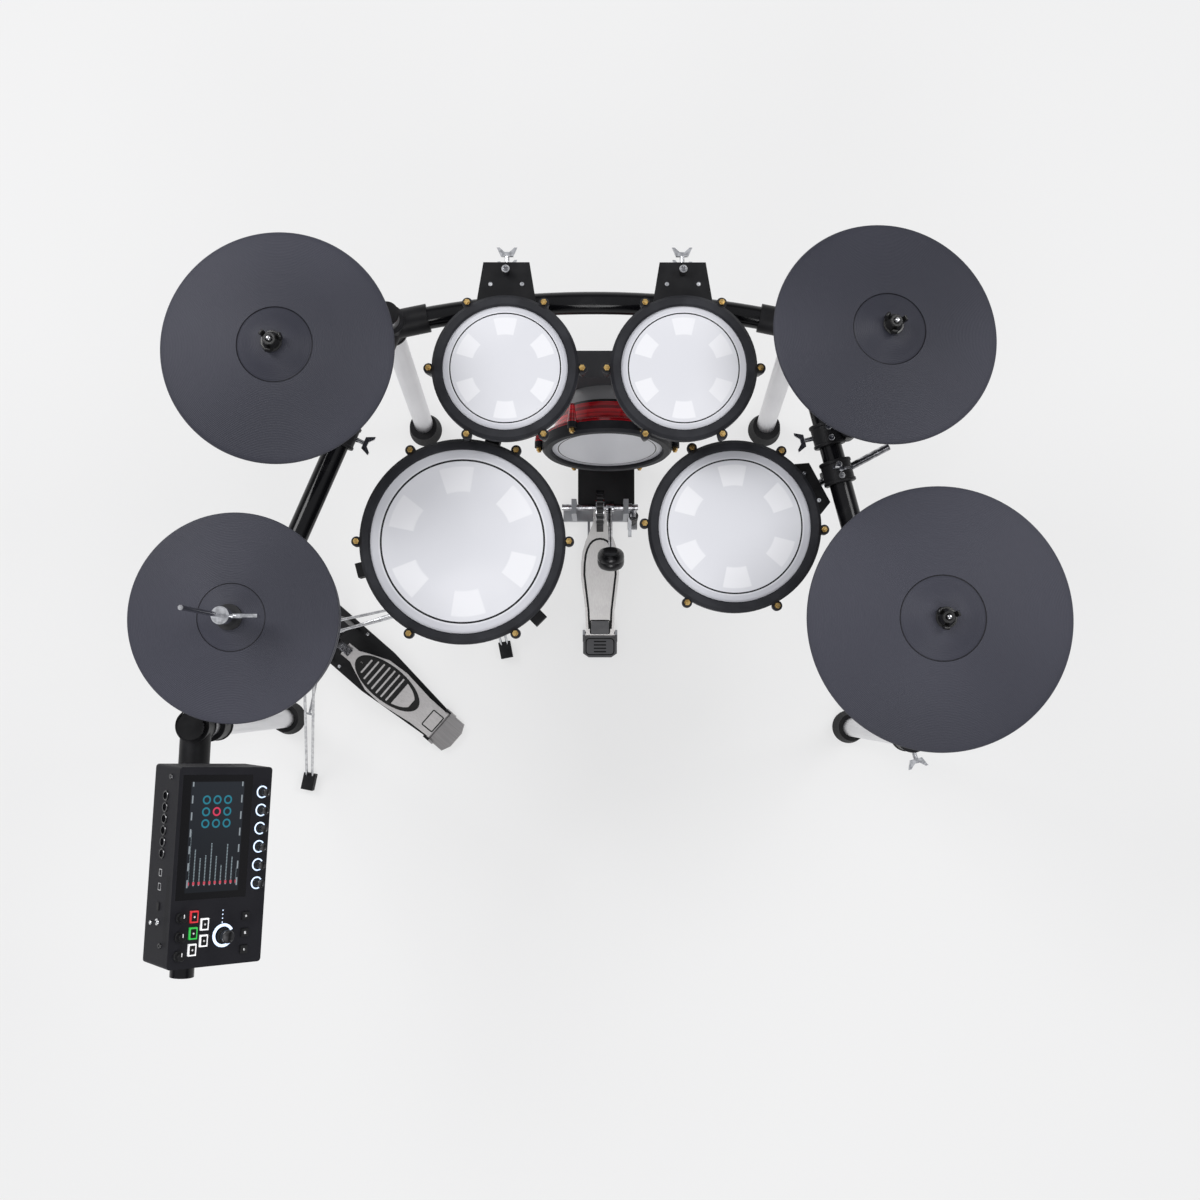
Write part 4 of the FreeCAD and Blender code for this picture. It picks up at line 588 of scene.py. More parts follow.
def rounded(low, high, corner):
    """The outline of a rectangle with rounded corners."""
    points = []
    for x, y, start in ((high[0] - corner, high[1] - corner, 0), (low[0] + corner, high[1] - corner, 90),
                        (low[0] + corner, low[1] + corner, 180), (high[0] - corner, low[1] + corner, 270)):
        for turn in (0, 30, 60, 90):
            angle = math.radians(start + turn)
            points.append((x + corner * math.cos(angle), y + corner * math.sin(angle)))
    return points


BRUSH_STRETCH = (40, 1, 1)
BRUSH_SCALE = 520


def brushed(name, turn, dark, pale):
    """Bare aluminium brushed along a board that points along the given heading."""
    skin = Finish(name, pale, 0.36, metal=0.8)
    hair = skin.noise(skin.place(turn=(0, 0, turn), stretch=BRUSH_STRETCH), BRUSH_SCALE, 3)
    cloud = skin.noise(skin.place(), 26, 3)
    skin.feed("Base Color", skin.mix(hair * 0.6 + cloud * 0.4, dark, pale))
    skin.feed("Roughness", 0.28 + hair * 0.2)
    skin.bump(hair, 0.14, 0.0003)
    return skin


KICK_HINGE = Vector((0.0327, -0.02336, 0.017))
KICK_RISE = math.radians(14.5)
KICK_HEEL_EDGE = -0.002
HEEL_TOP = 0.0167
BOARD_DEPTH = 0.006
INLAY = 0.0004
cast = Finish("cast_grey_frame", (0.4, 0.41, 0.43), 0.42, metal=0.6)
sand = cast.noise(cast.place(), 700, 4)
heel_side = cast.parts(cast.place(KICK_HINGE))[1] < KICK_HEEL_EDGE
grey = cast.mix(cast.noise(cast.place(), 40), (0.3, 0.31, 0.33), (0.48, 0.49, 0.51))
cast.feed("Base Color", cast.mix(heel_side, grey, (0.13, 0.13, 0.135)))
cast.feed("Roughness", 0.34 + sand * 0.2)
cast.bump(sand, 0.3, 0.0005)
dress(cast, "kick_pedal_base")
board_skin = brushed("kick_board_brushed", QUARTER, (0.27, 0.262, 0.258), (0.5, 0.488, 0.482))
BOARD_LENGTH = 0.262
BOARD_HALF = 0.039
BOARD_SHARES = ((0, 0.74), (0.2, 0.78), (0.34, 0.89), (0.43, 0.97), (0.5, 1), (0.58, 0.985), (0.66, 0.92),
                (0.74, 0.76), (0.82, 0.54), (0.87, 0.4), (0.91, 0.345), (1, 0.34))
PIN_RADIUS = 0.005
PIN_HALF = 0.0358
PIN_PROFILE = ((0, -PIN_HALF), (PIN_RADIUS, -PIN_HALF), (PIN_RADIUS, PIN_HALF), (0, PIN_HALF))
side = [(BOARD_LENGTH * x, BOARD_HALF * y) for x, y in BOARD_SHARES]
under = at(KICK_HINGE) @ turned("Z", QUARTER) @ turned("Y", -KICK_RISE)
tread = plate("tread", mirrored(side), BOARD_DEPTH, under)
level = at(KICK_HINGE) @ turned("Y", QUARTER)
tread = joined("kick_board_tread", [tread, lathe("pin", PIN_PROFILE, ROD_STEPS, level)])
settle(tread, board_skin, "kick_footboard")
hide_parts("kick_footboard")
inlay_black = moulded("inlay_black", (0.008, 0.008, 0.008), (0.014, 0.014, 0.014), 0.5, 900, 0.1)
heel_grey = moulded("heel_grey", (0.12, 0.12, 0.125), (0.16, 0.16, 0.165), 0.45, 800, 0.2)

heel = at((KICK_HINGE.x, 0, HEEL_TOP))
line = plate("kick_heel_line", rounded((-0.03, -0.0675), (0.03, -0.0318), 0.008), INLAY, heel, 0.0022)
settle(line, inlay_black)
# Painted shade: thin black plates laid over the heel's four slots stand in for the shade inside them.
SLOT_FIRST = -0.0392
SLOT_HALF = (0.013, 0.0014)
SLOT_PITCH = 0.007
painted_slot_shades = []
for row in range(4):
    middle = SLOT_FIRST - row * SLOT_PITCH
    outline = rounded((-SLOT_HALF[0], middle - SLOT_HALF[1]), (SLOT_HALF[0], middle + SLOT_HALF[1]), 0.0013)
    painted_slot_shades.append(plate("slot", outline, INLAY, heel))
settle(joined("kick_heel_slots", painted_slot_shades), inlay_black)

board = under @ at((0, 0, BOARD_DEPTH))
EDGE_LINE = mm((12, 24.2), (52, 25.8), (90, 30.2), (126, 34.2), (150, 33.4), (168, 31), (180, 27.6),
               (190, 22.5), (197, 16), (201, 8))
EDGE_TIP = (0.2022, 0)
EDGE_BAND = 0.0042
line = plate("kick_board_line", mirrored(EDGE_LINE, EDGE_TIP), INLAY, board, EDGE_BAND)
settle(line, inlay_black, "kick_footboard")
STEP_BAND = 0.0025
tongue = plate("kick_board_tongue", rounded((0.0012, -0.0185), (0.0285, 0.0185), 0.003), INLAY * 2, board)
settle(tongue, heel_grey, "kick_footboard")
line = plate("kick_tongue_line", rounded((0.0006, -0.0211), (0.0311, 0.0211), 0.004), INLAY, board, STEP_BAND)
settle(line, inlay_black, "kick_footboard")

# Frame lever: a hand lever, cast in the same grey metal as the frame. It hangs on the right cheek of the
# pedal and clamps it to the tower.
LEVER_PLACE = (0.0897, 0.2266, 0.1)
LEVER_DEPTH = 0.007
LEVER_OUTLINE = mm((8, 14), (-2, 16), (-12, 10), (-30, 2), (-50, -2), (-56, -6), (-56, -12), (-50, -15),
                   (-26, -12), (-8, -8), (6, -6), (11, 2))
SIDEWAYS = turned("Z", QUARTER) @ turned("X", QUARTER)
lever = plate("kick_frame_lever", LEVER_OUTLINE, LEVER_DEPTH, at(LEVER_PLACE) @ SIDEWAYS)
settle(lever, cast)

# Beater: a dense black felt and plastic drum on its rod, rounded at both rims, with a fine line where
# its two halves meet.
beater_skin = moulded("beater_block", (0.008, 0.008, 0.009), (0.014, 0.014, 0.015), 0.24, 900, 0.12, 0.45)
low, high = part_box("beater_head")
BEATER_LEAN = math.radians(31)
BEATER_SEAM = (0.0246, 0)
BEATER_STEPS = 64
BEATER_HALF = mm((0, 17.5), (11, 17.4), (18, 16.5), (22, 14.3), (24.3, 10.5), (25, 6), (25, 0.8))
place = at((low + high) / 2) @ turned("X", BEATER_LEAN - QUARTER)
beater = lathe("beater_drum", mirrored(BEATER_HALF, BEATER_SEAM), BEATER_STEPS, place)
settle(beater, beater_skin, "beater")
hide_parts("beater_head")

# Kick spring: black steel wire wound in thirteen open turns between the frame's foot and the beater's
# crank.
SPRING_FOOT = Vector((0.1002, 0.21064, 0.0216))
SPRING_TOP = 0.1219
SPRING_TURNS = 13
SPRING_RADIUS = 0.0085
WIRE = 0.0013
WIRE_SIDES = 10
WINDING_STEPS = 24
spring_wire = moulded("spring_wire", (0.014, 0.014, 0.015), (0.03, 0.03, 0.032), 0.3, 300, 0.1, 0.5)
bpy.ops.object.select_all(action="DESELECT")
bpy.ops.mesh.primitive_circle_add(vertices=WIRE_SIDES, radius=WIRE, fill_type="NOTHING")
coil = bpy.context.object
coil.name = "kick_spring_coil"
coil.data.name = "kick_spring_coil"
bpy.ops.object.mode_set(mode="EDIT")
bpy.ops.mesh.select_all(action="SELECT")
bpy.ops.transform.rotate(value=QUARTER, orient_axis="X", center_override=(0, 0, 0))
bpy.ops.transform.translate(value=(SPRING_RADIUS, 0, 0))
bpy.ops.object.mode_set(mode="OBJECT")
winding = coil.modifiers.new("winding", "SCREW")
winding.axis = "Z"
winding.steps = WINDING_STEPS
winding.render_steps = WINDING_STEPS
winding.iterations = SPRING_TURNS
winding.screw_offset = (SPRING_TOP - SPRING_FOOT.z) / SPRING_TURNS
bpy.ops.object.modifier_apply(modifier="winding")
bpy.ops.object.mode_set(mode="EDIT")
bpy.ops.mesh.select_all(action="DESELECT")
bpy.ops.mesh.select_non_manifold()
bpy.ops.mesh.fill_holes(sides=0)
close(coil, at(SPRING_FOOT))
paint(coil, spring_wire)
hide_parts("kick_spring")
top = SPRING_FOOT.copy()
top.z = SPRING_TOP
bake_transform(coil)

# Drive chain: dark steel links from the toe of the board up over the front of the cam, pinned at both ends.
KICK_AXLE = Vector((KICK_HINGE.x, 0.22664, 0.128))
CHAIN_RUN = 0.0355
CHAIN_WIDTH = 0.0136
CHAIN_STEP = 0.002
CHAIN_BACK = 0.001
CHAIN_TEETH = (0.0022, 0.0022, 0.0008, 0.0008)
CHAIN_END = math.radians(48)
CHAIN_FOOT = (-0.042, -0.0502)
foot = Vector(CHAIN_FOOT)
leave = math.atan2(foot.y, foot.x) + 2 * math.pi - math.acos(CHAIN_RUN / foot.length)
tangent = Vector((math.cos(leave), math.sin(leave))) * CHAIN_RUN
straight = tangent - foot
out = Vector((-straight.y, straight.x)).normalized()
steps = int(straight.length / CHAIN_STEP)
links = [(foot + straight * (step / steps), out) for step in range(steps)]
for step in range(int((leave - CHAIN_END) * CHAIN_RUN / CHAIN_STEP)):
    angle = leave - step * CHAIN_STEP / CHAIN_RUN
    ray = Vector((math.cos(angle), math.sin(angle)))
    links.append((ray * CHAIN_RUN, ray))
outline = []
for number, (spot, ray) in enumerate(links):
    outline.append(tuple(spot + ray * CHAIN_TEETH[number % len(CHAIN_TEETH)]))
outline += [tuple(spot - ray * CHAIN_BACK) for spot, ray in reversed(links)]
beside = at(KICK_AXLE - Vector((CHAIN_WIDTH / 2, 0, 0)))
chain = plate("kick_drive_chain", outline, CHAIN_WIDTH, beside @ SIDEWAYS)
paint(chain, spring_wire)
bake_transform(chain)


# Stand braces: plated steel links from a collar on each stand's tube to the middle of its legs, where a pin
# holds each one between the two bars of a leg.
def bar(name, start, end, radius):
    """A round bar between two points."""
    run = Vector(end) - Vector(start)
    length = run.length
    place = at(start) @ run.to_track_quat("Z", "Y").to_matrix().to_4x4()
    soft = radius * 0.3
    profile = ((0, 0), (radius - soft, 0), (radius, soft), (radius, length - soft), (radius - soft, length),
               (0, length))
    return lathe(name, profile, BAR_STEPS, place)


BAR_STEPS = 14
COLLAR_STEPS = 40
FOOT_RISE = 0.006
COLLAR_RING = mm((12.7, 0), (16.8, 0), (17.8, 1), (17.8, 17), (16.8, 18), (12.7, 18), (12.7, 0))
BRACE_START = (0.0165, 0.009)
BRACE_SHARE = 0.52
LEG_HALF = 0.0105
LINK_RADIUS = 0.0026
LEG_PIN_RADIUS = 0.0022
for name, axis, hub, reach, first, collar_low in (
        ("snare", Vector((-0.1943, 0.10564, 0)), 0.19, 0.165, 281, 0.072),
        ("hihat", Vector((-0.5073, -0.03336, 0)), 0.33, 0.3, 258.5, 0.152)):
    links = [lathe("collar", COLLAR_RING, COLLAR_STEPS, at(axis + Vector((0, 0, collar_low))))]
    for leg in range(3):
        angle = math.radians(first + 120 * leg)
        out = Vector((math.cos(angle), math.sin(angle), 0))
        across = Vector((-out.y, out.x, 0)) * LEG_HALF
        middle = axis + out * reach * BRACE_SHARE + Vector((0, 0, hub + (FOOT_RISE - hub) * BRACE_SHARE))
        start = axis + out * BRACE_START[0] + Vector((0, 0, collar_low + BRACE_START[1]))
        links.append(bar("link", start, middle, LINK_RADIUS))
        links.append(bar("pin", middle - across, middle + across, LEG_PIN_RADIUS))
    settle(joined(name + "_stand_braces", links), leg_chrome)

# Hi-hat pedal: a black floor plate with a bright heel, and a brushed board with a black inlay. The inlay
# carries bright grip bars towards the toe and a plain bright lens towards the heel.
HAT_HINGE = Vector((-0.3017, -0.2115, 0.017))
HAT_HEADING = math.radians(139.1)
HAT_RISE = math.radians(17)
HAT_TONES = ((0.2, 0.193, 0.192), (0.42, 0.408, 0.406))
HEEL_EDGE = -0.0055
hat_plate = moulded("hat_plate_coat", *COAT_TONES, 0.42, 520, 0.4)
behind = hat_plate.parts(hat_plate.place(HAT_HINGE, (0, 0, HAT_HEADING)))[0] < HEEL_EDGE
hair = hat_plate.noise(hat_plate.place(turn=(0, 0, HAT_HEADING), stretch=BRUSH_STRETCH), BRUSH_SCALE, 3)
black = hat_plate.mix(hat_plate.noise(hat_plate.place(), 22, 3), *COAT_TONES)
bright = hat_plate.mix(hair, *HAT_TONES)
hat_plate.feed("Base Color", hat_plate.mix(behind, black, bright))
hat_plate.feed("Metallic", behind * 0.85)
dress(hat_plate, "hihat_pedal_plate")
hat_board_skin = brushed("hihat_board_brushed", HAT_HEADING, *HAT_TONES)
dress(hat_board_skin, "hihat_footboard")

LENS_MIDDLE = 0.138
LENS_HALF = (0.081, 0.0355)
LENS_SHARE = 0.84
OVAL_STEPS = 48
GRIP_START = 0.118
GRIP_PITCH = 0.0126
GRIP_HALF = 0.0018


def lens_half(along):
    """Half the width inside the inlay's border at a place along the board."""
    reach = (along - LENS_MIDDLE) / (LENS_HALF[0] * LENS_SHARE)
    return LENS_HALF[1] * LENS_SHARE * math.sqrt(max(0, 1 - reach * reach))


flat = at(HAT_HINGE) @ turned("Z", HAT_HEADING)
board = flat @ turned("Y", -HAT_RISE) @ at((0, 0, BOARD_DEPTH))
turns = [math.radians(360 / OVAL_STEPS * turn) for turn in range(OVAL_STEPS)]
oval = [(LENS_MIDDLE + LENS_HALF[0] * math.cos(turn), LENS_HALF[1] * math.sin(turn)) for turn in turns]
settle(plate("hihat_board_inlay", oval, INLAY, board), inlay_black, "hihat_footboard")
raised = board @ at((0, 0, INLAY))
bars = []
for number in range(8):
    along = GRIP_START + number * GRIP_PITCH
    half = lens_half(along)
    outline = rounded((along - GRIP_HALF, -half), (along + GRIP_HALF, half), 0.0016)
    bars.append(plate("bar", outline, INLAY * 2, raised))
settle(joined("hihat_grip_bars", bars), hat_board_skin, "hihat_footboard")
LENS_STEPS = (0.0735, 0.077, 0.082, 0.088, 0.094, 0.1, 0.106)
half_oval = [(along, lens_half(along)) for along in LENS_STEPS]
lens = plate("hihat_plain_lens", mirrored(half_oval), INLAY * 2, raised)
settle(lens, hat_board_skin, "hihat_footboard")
step = plate("hihat_step_line", rounded((0.0006, -0.02), (0.03, 0.02), 0.003), INLAY, board, STEP_BAND)
settle(step, inlay_black, "hihat_footboard")
PLATE_TOP = 0.005
for number, side in enumerate((-0.044, 0.044)):
    spot = flat @ at((0.236, side, PLATE_TOP - HAT_HINGE.z))
    settle(lathe("hihat_plate_screw_%d" % number, SCREW_HEAD, SCREW_STEPS, spot), chrome)

# Clutch: a bright plated steel barrel and lever that clamp on the hi-hat's rod, with two dark felts under
# them that grip the pad.
FELT_TOP = 0.912
CLUTCH_TONES = ((0.5, 0.505, 0.52), (0.84, 0.85, 0.87))
clutch = plated("clutch_chrome", *CLUTCH_TONES)
above = clutch.parts(clutch.place())[2] > FELT_TOP
wool = clutch.noise(clutch.place(), 900, 4)
felt = clutch.mix(wool, (0.012, 0.012, 0.013), (0.035, 0.035, 0.037))
# Painted reflection: streaks along the barrel mix the two plate tones, standing in for the reflections on the
# chrome.
streak = clutch.noise(clutch.place(stretch=(1, 1, 60)), 150, 1).soft(0.3, 0.7)
steel = clutch.mix(streak, *CLUTCH_TONES)
clutch.feed("Base Color", clutch.mix(above, felt, steel))
clutch.feed("Metallic", above)
clutch.feed("Roughness", 0.9 - above * 0.8)
dress(clutch, "hihat_clutch")

# Cymbal and hi-hat pads: moulded rubber over a stiff core, matte blue charcoal, with fine grooves round it
# and a ring groove at the foot of the bell, darkened with painted shade. They sit loosely on the sleeves of
# their arms.
BELL_FOOT = 0.32
BELL_GROOVE_SHADE_HALF = 0.0045
GROOVE_PITCH = 0.0024


def pad_skin(name, place, radius):
    """Charcoal rubber with fine grooves round the pad's own axis, and broad light and dark patches of painted
    sheen and shade.
    """
    skin = Finish(name, (0.036, 0.037, 0.05), 0.55, shine=0.3)
    across, along = skin.parts(skin.place(place.to_translation(), place.to_euler()))[:2]
    out = (across * across + along * along).root()
    groove = out.beat(GROOVE_PITCH)
    grain = skin.noise(skin.place(), 1500, 2)
    # Painted sheen and shade: broad light and dark patches in the colour stand in for the light across the
    # pad.
    cloud = skin.noise(skin.place(), 3, 1)
    tone = skin.mix(cloud.soft(0.25, 0.75), (0.029, 0.03, 0.042), (0.047, 0.048, 0.065))
    # Painted shade: the ring groove at the bell's foot is darkened nearly to black.
    line = (out / radius - BELL_FOOT).size() < BELL_GROOVE_SHADE_HALF
    skin.feed("Base Color", skin.mix(line * 0.9, tone, (0.006, 0.006, 0.008)))
    skin.feed("Roughness", 0.48 + groove * 0.04 + cloud * 0.1)
    skin.bump(groove * 0.8 + grain * 0.5, 0.3, 0.0004)
    return skin


BOW = ((0.05, 0.0), (0.09, 0.0), (0.12, 0.01), (0.145, 0.04), (0.175, 0.09), (0.21, 0.17), (0.245, 0.275),
       (0.275, 0.36), (0.297, 0.415), (0.31, 0.447), (0.315, 0.475), (BELL_FOOT, 0.482), (0.325, 0.455),
       (0.333, 0.457), (0.5, 0.59), (0.65, 0.7), (0.8, 0.81), (0.9, 0.885), (0.95, 0.925), (0.98, 0.96),
       (0.994, 1.0), (1.0, 1.07))
UNDERSIDE = ((BELL_FOOT, 0.46), (0.29, 0.4), (0.21, 0.17), (0.115, 0))


def pad_profile(radius, hole, top, rise, thickness):
    """Bell, bow, rounded rim and underside of a pad."""
    upper = [(radius * x, top - rise * y) for x, y in BOW if radius * x > hole]
    rim = [(radius * 0.999, top - rise - thickness * 0.55), (radius * 0.99, top - rise - thickness * 0.78),
           (radius * 0.97, top - rise * 0.94 - thickness)]
    under = [(radius * x, top - rise * y - thickness) for x, y in UNDERSIDE]
    return [(hole, top)] + upper + rim + under + [(hole, top - thickness), (hole, top)]


PAD_RISE = 0.034
PAD_THICKNESS = 0.008
PAD_HOLE = 0.0082
PAD_STEPS = 144
CRASH_LEAN = Matrix.Rotation(math.radians(-8), 4, Vector((1, -1, 0)).normalized())
pad_places = {}
for name, radius, lean in (("left_crash", 0.178, Matrix()), ("right_crash", 0.178, CRASH_LEAN),
                           ("ride", 0.203, Matrix())):
    place = at(joint[name + "_rock"]["pos_m"]) @ lean
    pad_places[name] = place
    profile = pad_profile(radius, PAD_HOLE, PAD_THICKNESS / 2, PAD_RISE, PAD_THICKNESS)
    pad = lathe(name + "_rubber_pad", profile, PAD_STEPS, place)
    settle(pad, pad_skin(name + "_rubber", place, radius), name)
    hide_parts(name + "_pad")

low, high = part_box("hihat_top_pad")
HAT_RADIUS = 0.156
HAT_HOLE = 0.0062
HAT_BOW = 0.02
HAT_THICKNESS = 0.012
place = at(((low.x + high.x) / 2, (low.y + high.y) / 2, high.z))
profile = pad_profile(HAT_RADIUS, HAT_HOLE, 0, HAT_BOW, HAT_THICKNESS)
hat = lathe("hihat_top_rubber_pad", profile, PAD_STEPS, place)
settle(hat, pad_skin("hihat_rubber", place, HAT_RADIUS), "hihat_top")
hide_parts("hihat_top_pad")
dress(pad_skin("hihat_under_rubber", place, HAT_RADIUS), "hihat_bottom_pad")

# Wing nuts: glossy black mouldings over the cymbals' sleeves, each a tapered hub with three curled arms on
# a washer. The plated tip of the arm's stud shows through the top.
nut_skin = moulded("wing_nut_plastic", (0.008, 0.008, 0.008), (0.014, 0.014, 0.014), 0.24, 500, 0.1, 0.5)
STUD_TIP = mm((0, 30.8), (2, 30.7), (3.6, 29.8), (4.3, 28.4), (4.3, 25.2), (0, 25.2))
WASHER = mm((8.5, 7.2), (15.5, 7.2), (16.2, 7.9), (16.2, 9.2), (15.5, 9.9), (11.5, 10.2), (8.5, 10.2),
            (8.5, 7.2))
NUT_HUB = mm((4.5, 10.2), (12.5, 10.2), (13.2, 11), (12, 15), (10.4, 20.5), (9.8, 24.5), (8.8, 25.6),
             (5.6, 25.6), (4.5, 24.6), (4.5, 10.2))
NUT_ARM = mm((8, 10.8), (15.8, 10.8), (18.2, 12.5), (19, 16.5), (18.8, 21.5), (17.4, 24.8), (15.2, 25.2),
             (13.6, 22.8), (12.4, 18.5), (10, 16.5), (8, 16.5))
NUT_STEPS = 48
ARM_HEADING = 20
ARM_SOFTNESS = 0.0011
ARM_THICKNESS = 0.0085
ARM_ON_EDGE = at((0, ARM_THICKNESS / 2, 0)) @ turned("X", QUARTER)
for name, place in pad_places.items():
    nut = [lathe("hub", NUT_HUB, NUT_STEPS, place), lathe("washer", WASHER, NUT_STEPS, place)]
    for third in range(3):
        heading = turned("Z", math.radians(120 * third + ARM_HEADING))
        arm = plate("arm", NUT_ARM, ARM_THICKNESS, place @ heading @ ARM_ON_EDGE)
        softened = arm.modifiers.new("soft_edges", "BEVEL")
        softened.width = ARM_SOFTNESS
        softened.segments = 3
        bpy.ops.object.modifier_apply(modifier="soft_edges")
        nut.append(arm)
    nut = settle(joined(name + "_wing_nut", nut), nut_skin)
    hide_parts("wing_nuts")
    settle(lathe(name + "_stud_tip", STUD_TIP, ROD_STEPS, place), chrome)

# Sound module: a charcoal case with a fine grain, hung on the arm with its face turned up. A black glass
# screen fills most of the face, and a perforated strip runs along its side panel, its holes painted as shade.
FACE = at((-0.5173, -0.39436, 0.89)) @ turned("Z", math.radians(-2.9)) @ turned("Y", math.radians(44))
FACE_SIZE = (0.15, 0.286)
face_turn = tuple(FACE.to_euler())
case_skin = moulded("module_case_grain", (0.012, 0.012, 0.015), (0.019, 0.019, 0.023), 0.48, 1100, 0.3, 0.12)
across, along, up = case_skin.parts(case_skin.place(FACE.to_translation(), face_turn))
HOLE_PITCH = 0.0026
SIDE_FROM = -0.0745
# Painted shade: the holes of the perforated strip are near-black dots in the colour, standing in for the dark
# inside real openings.
painted_hole_shade = (along.beat(HOLE_PITCH) * up.beat(HOLE_PITCH)) > 0.3
strip = (across < SIDE_FROM) * ((along + 0.062).size() < 0.05) * ((up + 0.012).size() < 0.0055)
plain = case_skin.mix(case_skin.noise(case_skin.place(), 22, 3), (0.011, 0.011, 0.014), (0.019, 0.019, 0.023))
case_skin.feed("Base Color", case_skin.mix(painted_hole_shade * strip, plain, (0.002, 0.002, 0.002)))
dress(case_skin, "module_case")

# Screen: glass over a lit panel. Its picture is a plain one of the kind such modules show: a dark field,
# level bars, rings for the pads and a lit row, inside a black border.
SCREEN_MIDDLE = Vector((-0.085 * FACE_SIZE[0], 0.15 * FACE_SIZE[1], 0))
LIT_HALF = (0.0425, 0.079)
glass = Finish("screen_glass", (0.004, 0.004, 0.005), 0.1, coat=0.3, shine=0.3, glow=0.9)
across, along = glass.parts(glass.place(FACE @ SCREEN_MIDDLE, face_turn))[:2]
lit = (across.size() < LIT_HALF[0]) * (along.size() < LIT_HALF[1])
field = glass.mix(along.soft(-0.08, 0.08), (0.008, 0.01, 0.013), (0.016, 0.02, 0.026))
CELL = 0.017
RINGS_MIDDLE = 0.036
sideways = across / CELL + 0.5
upwards = (along - RINGS_MIDDLE) / CELL + 0.5
column = sideways.math("FRACT") - 0.5
row = upwards.math("FRACT") - 0.5
above = (along - RINGS_MIDDLE).size()
pad_ring = ((column * column + row * row).root() - 0.31).size() < 0.07
pad_ring = pad_ring * (across.size() < CELL * 1.5) * (above < CELL * 1.5)
picture = glass.mix(pad_ring, field, (0.02, 0.22, 0.3))
chosen = (across.size() < CELL / 2) * (above < CELL / 2)
picture = glass.mix(pad_ring * chosen, picture, (0.75, 0.05, 0.12))
BAR_PITCH = 0.0085
BARS_HALF = 0.038
BARS_FOOT = 0.07
DOT_ROWS = 0.0021
EDGE_ROWS = 0.024
lanes = across / BAR_PITCH
lane = (lanes.math("FRACT") - 0.5).size()
within = across.size() < BARS_HALF
length = glass.streaks(lanes.math("FLOOR"), 3.7, 0)
risen = along + BARS_FOOT
level = (lane < 0.1) * (risen > 0) * (risen < length * 0.085)
dots = (along.beat(DOT_ROWS) > -0.2) * level * within
picture = glass.mix(dots, picture, (0.34, 0.42, 0.46))
heads = (lane < 0.2) * ((along + 0.066).size() < 0.0022) * within
picture = glass.mix(heads, picture, (0.62, 0.08, 0.12))
edge_row = ((across.size() - 0.0395).size() < 0.0011) * (along.beat(EDGE_ROWS) > 0.1)
picture = glass.mix(edge_row, picture, (0.3, 0.34, 0.37))
glass.feed("Emission Color", glass.mix(lit, (0, 0, 0), picture))
dress(glass, "touch_screen")


# Knobs: soft black turned caps. The six small ones and the large one stand in rings of lit segments, and
# the three pots have a white pointer.
def on_face(x_share, y_share, rise=0.0):
    """A place on the module's face, by shares of its width and length."""
    return FACE @ at((x_share * FACE_SIZE[0], y_share * FACE_SIZE[1], rise))


def arc_band(name, inner, outer, thickness, sweep, place):
    """A flat ring with a gap, open towards the drummer's right."""
    piece = begin(name)
    draw_line([(inner, 0, 0), (outer, 0, 0), (outer, 0, thickness), (inner, 0, thickness)])
    bpy.ops.mesh.edge_face_add()
    bpy.ops.mesh.spin(steps=48, angle=-math.radians(sweep), center=(0, 0, 0), axis=(0, 0, 1))
    return close(piece, place @ turned("Z", math.pi - math.radians(sweep) / 2))


knob_skin = moulded("soft_black_knob", (0.01, 0.01, 0.011), (0.017, 0.017, 0.018), 0.42, 1600, 0.2)
KNOBS = {"encoder_%d" % (number + 1): (0.4, 0.372 - 0.0935 * number) for number in range(6)}
MAIN_KNOB = (0.07, -0.35)
SMALL_ARC = (0.0073, 0.0092, 0.0006, 290)
MAIN_ARC = (0.0128, 0.017, 0.0007, 300)
KNOB_STEPS = 40
POT_FIRST = -0.245
POT_PITCH = 0.094
dress(knob_skin, "main_encoder", "pot_1", "pot_2", "pot_3", *KNOBS)
ring_light = Finish("ring_light", (0.6, 0.7, 0.85), 0.4, glow=0.95)
pulse = ring_light.noise(ring_light.place(), 260, 1)
ring_light.feed("Emission Color", ring_light.mix(pulse, (0.42, 0.62, 1.0), (0.8, 0.9, 1.0)))
for name, shares in KNOBS.items():
    arc = arc_band(name.replace("_", "_light_"), *SMALL_ARC, on_face(*shares))
    settle(arc, ring_light)
arc = arc_band("main_light", *MAIN_ARC, on_face(*MAIN_KNOB))
settle(arc, ring_light)
CAP_RING = ((0.0, 0.0), (0.72, 0.0), (0.78, 0.06), (0.86, 0.06), (0.92, 0.0), (0.92, -0.05), (0.0, -0.05))
cap_skin = plated("knob_cap", (0.05, 0.05, 0.052), (0.12, 0.12, 0.125))
caps = [(name, 0.0062, on_face(*shares, 0.0132)) for name, shares in KNOBS.items()]
for name, radius, spot in (*caps, ("main_encoder", 0.0105, on_face(*MAIN_KNOB, 0.0152))):
    cap = lathe(name + "_cap", [(radius * x, radius * y * 0.6) for x, y in CAP_RING], KNOB_STEPS, spot)
    settle(cap, cap_skin, name)
white_mark = moulded("white_mark", (0.72, 0.72, 0.73), (0.8, 0.8, 0.8), 0.5, 900, 0.1)
POINTER = rounded((-0.0007, 0.0008), (0.0007, 0.0064), 0.0006)
for number in range(3):
    name = "pot_%d" % (number + 1)
    spot = on_face(-0.4, POT_FIRST - POT_PITCH * number, 0.0131)
    pointer = plate(name + "_pointer", POINTER, 0.0005, spot)
    settle(pointer, white_mark, name)
DOT = mm((0, 0.6), (0.7, 0.5), (0.9, 0.2), (0.9, -0.4), (0, -0.4))
DOT_FIRST = -0.064
DOT_PITCH = 0.0057
spots = [FACE @ at((0.008, DOT_FIRST - DOT_PITCH * number, 0)) for number in range(4)]
dots = [lathe("dot", DOT, 16, spot) for spot in spots]
settle(joined("level_lights", dots), ring_light)


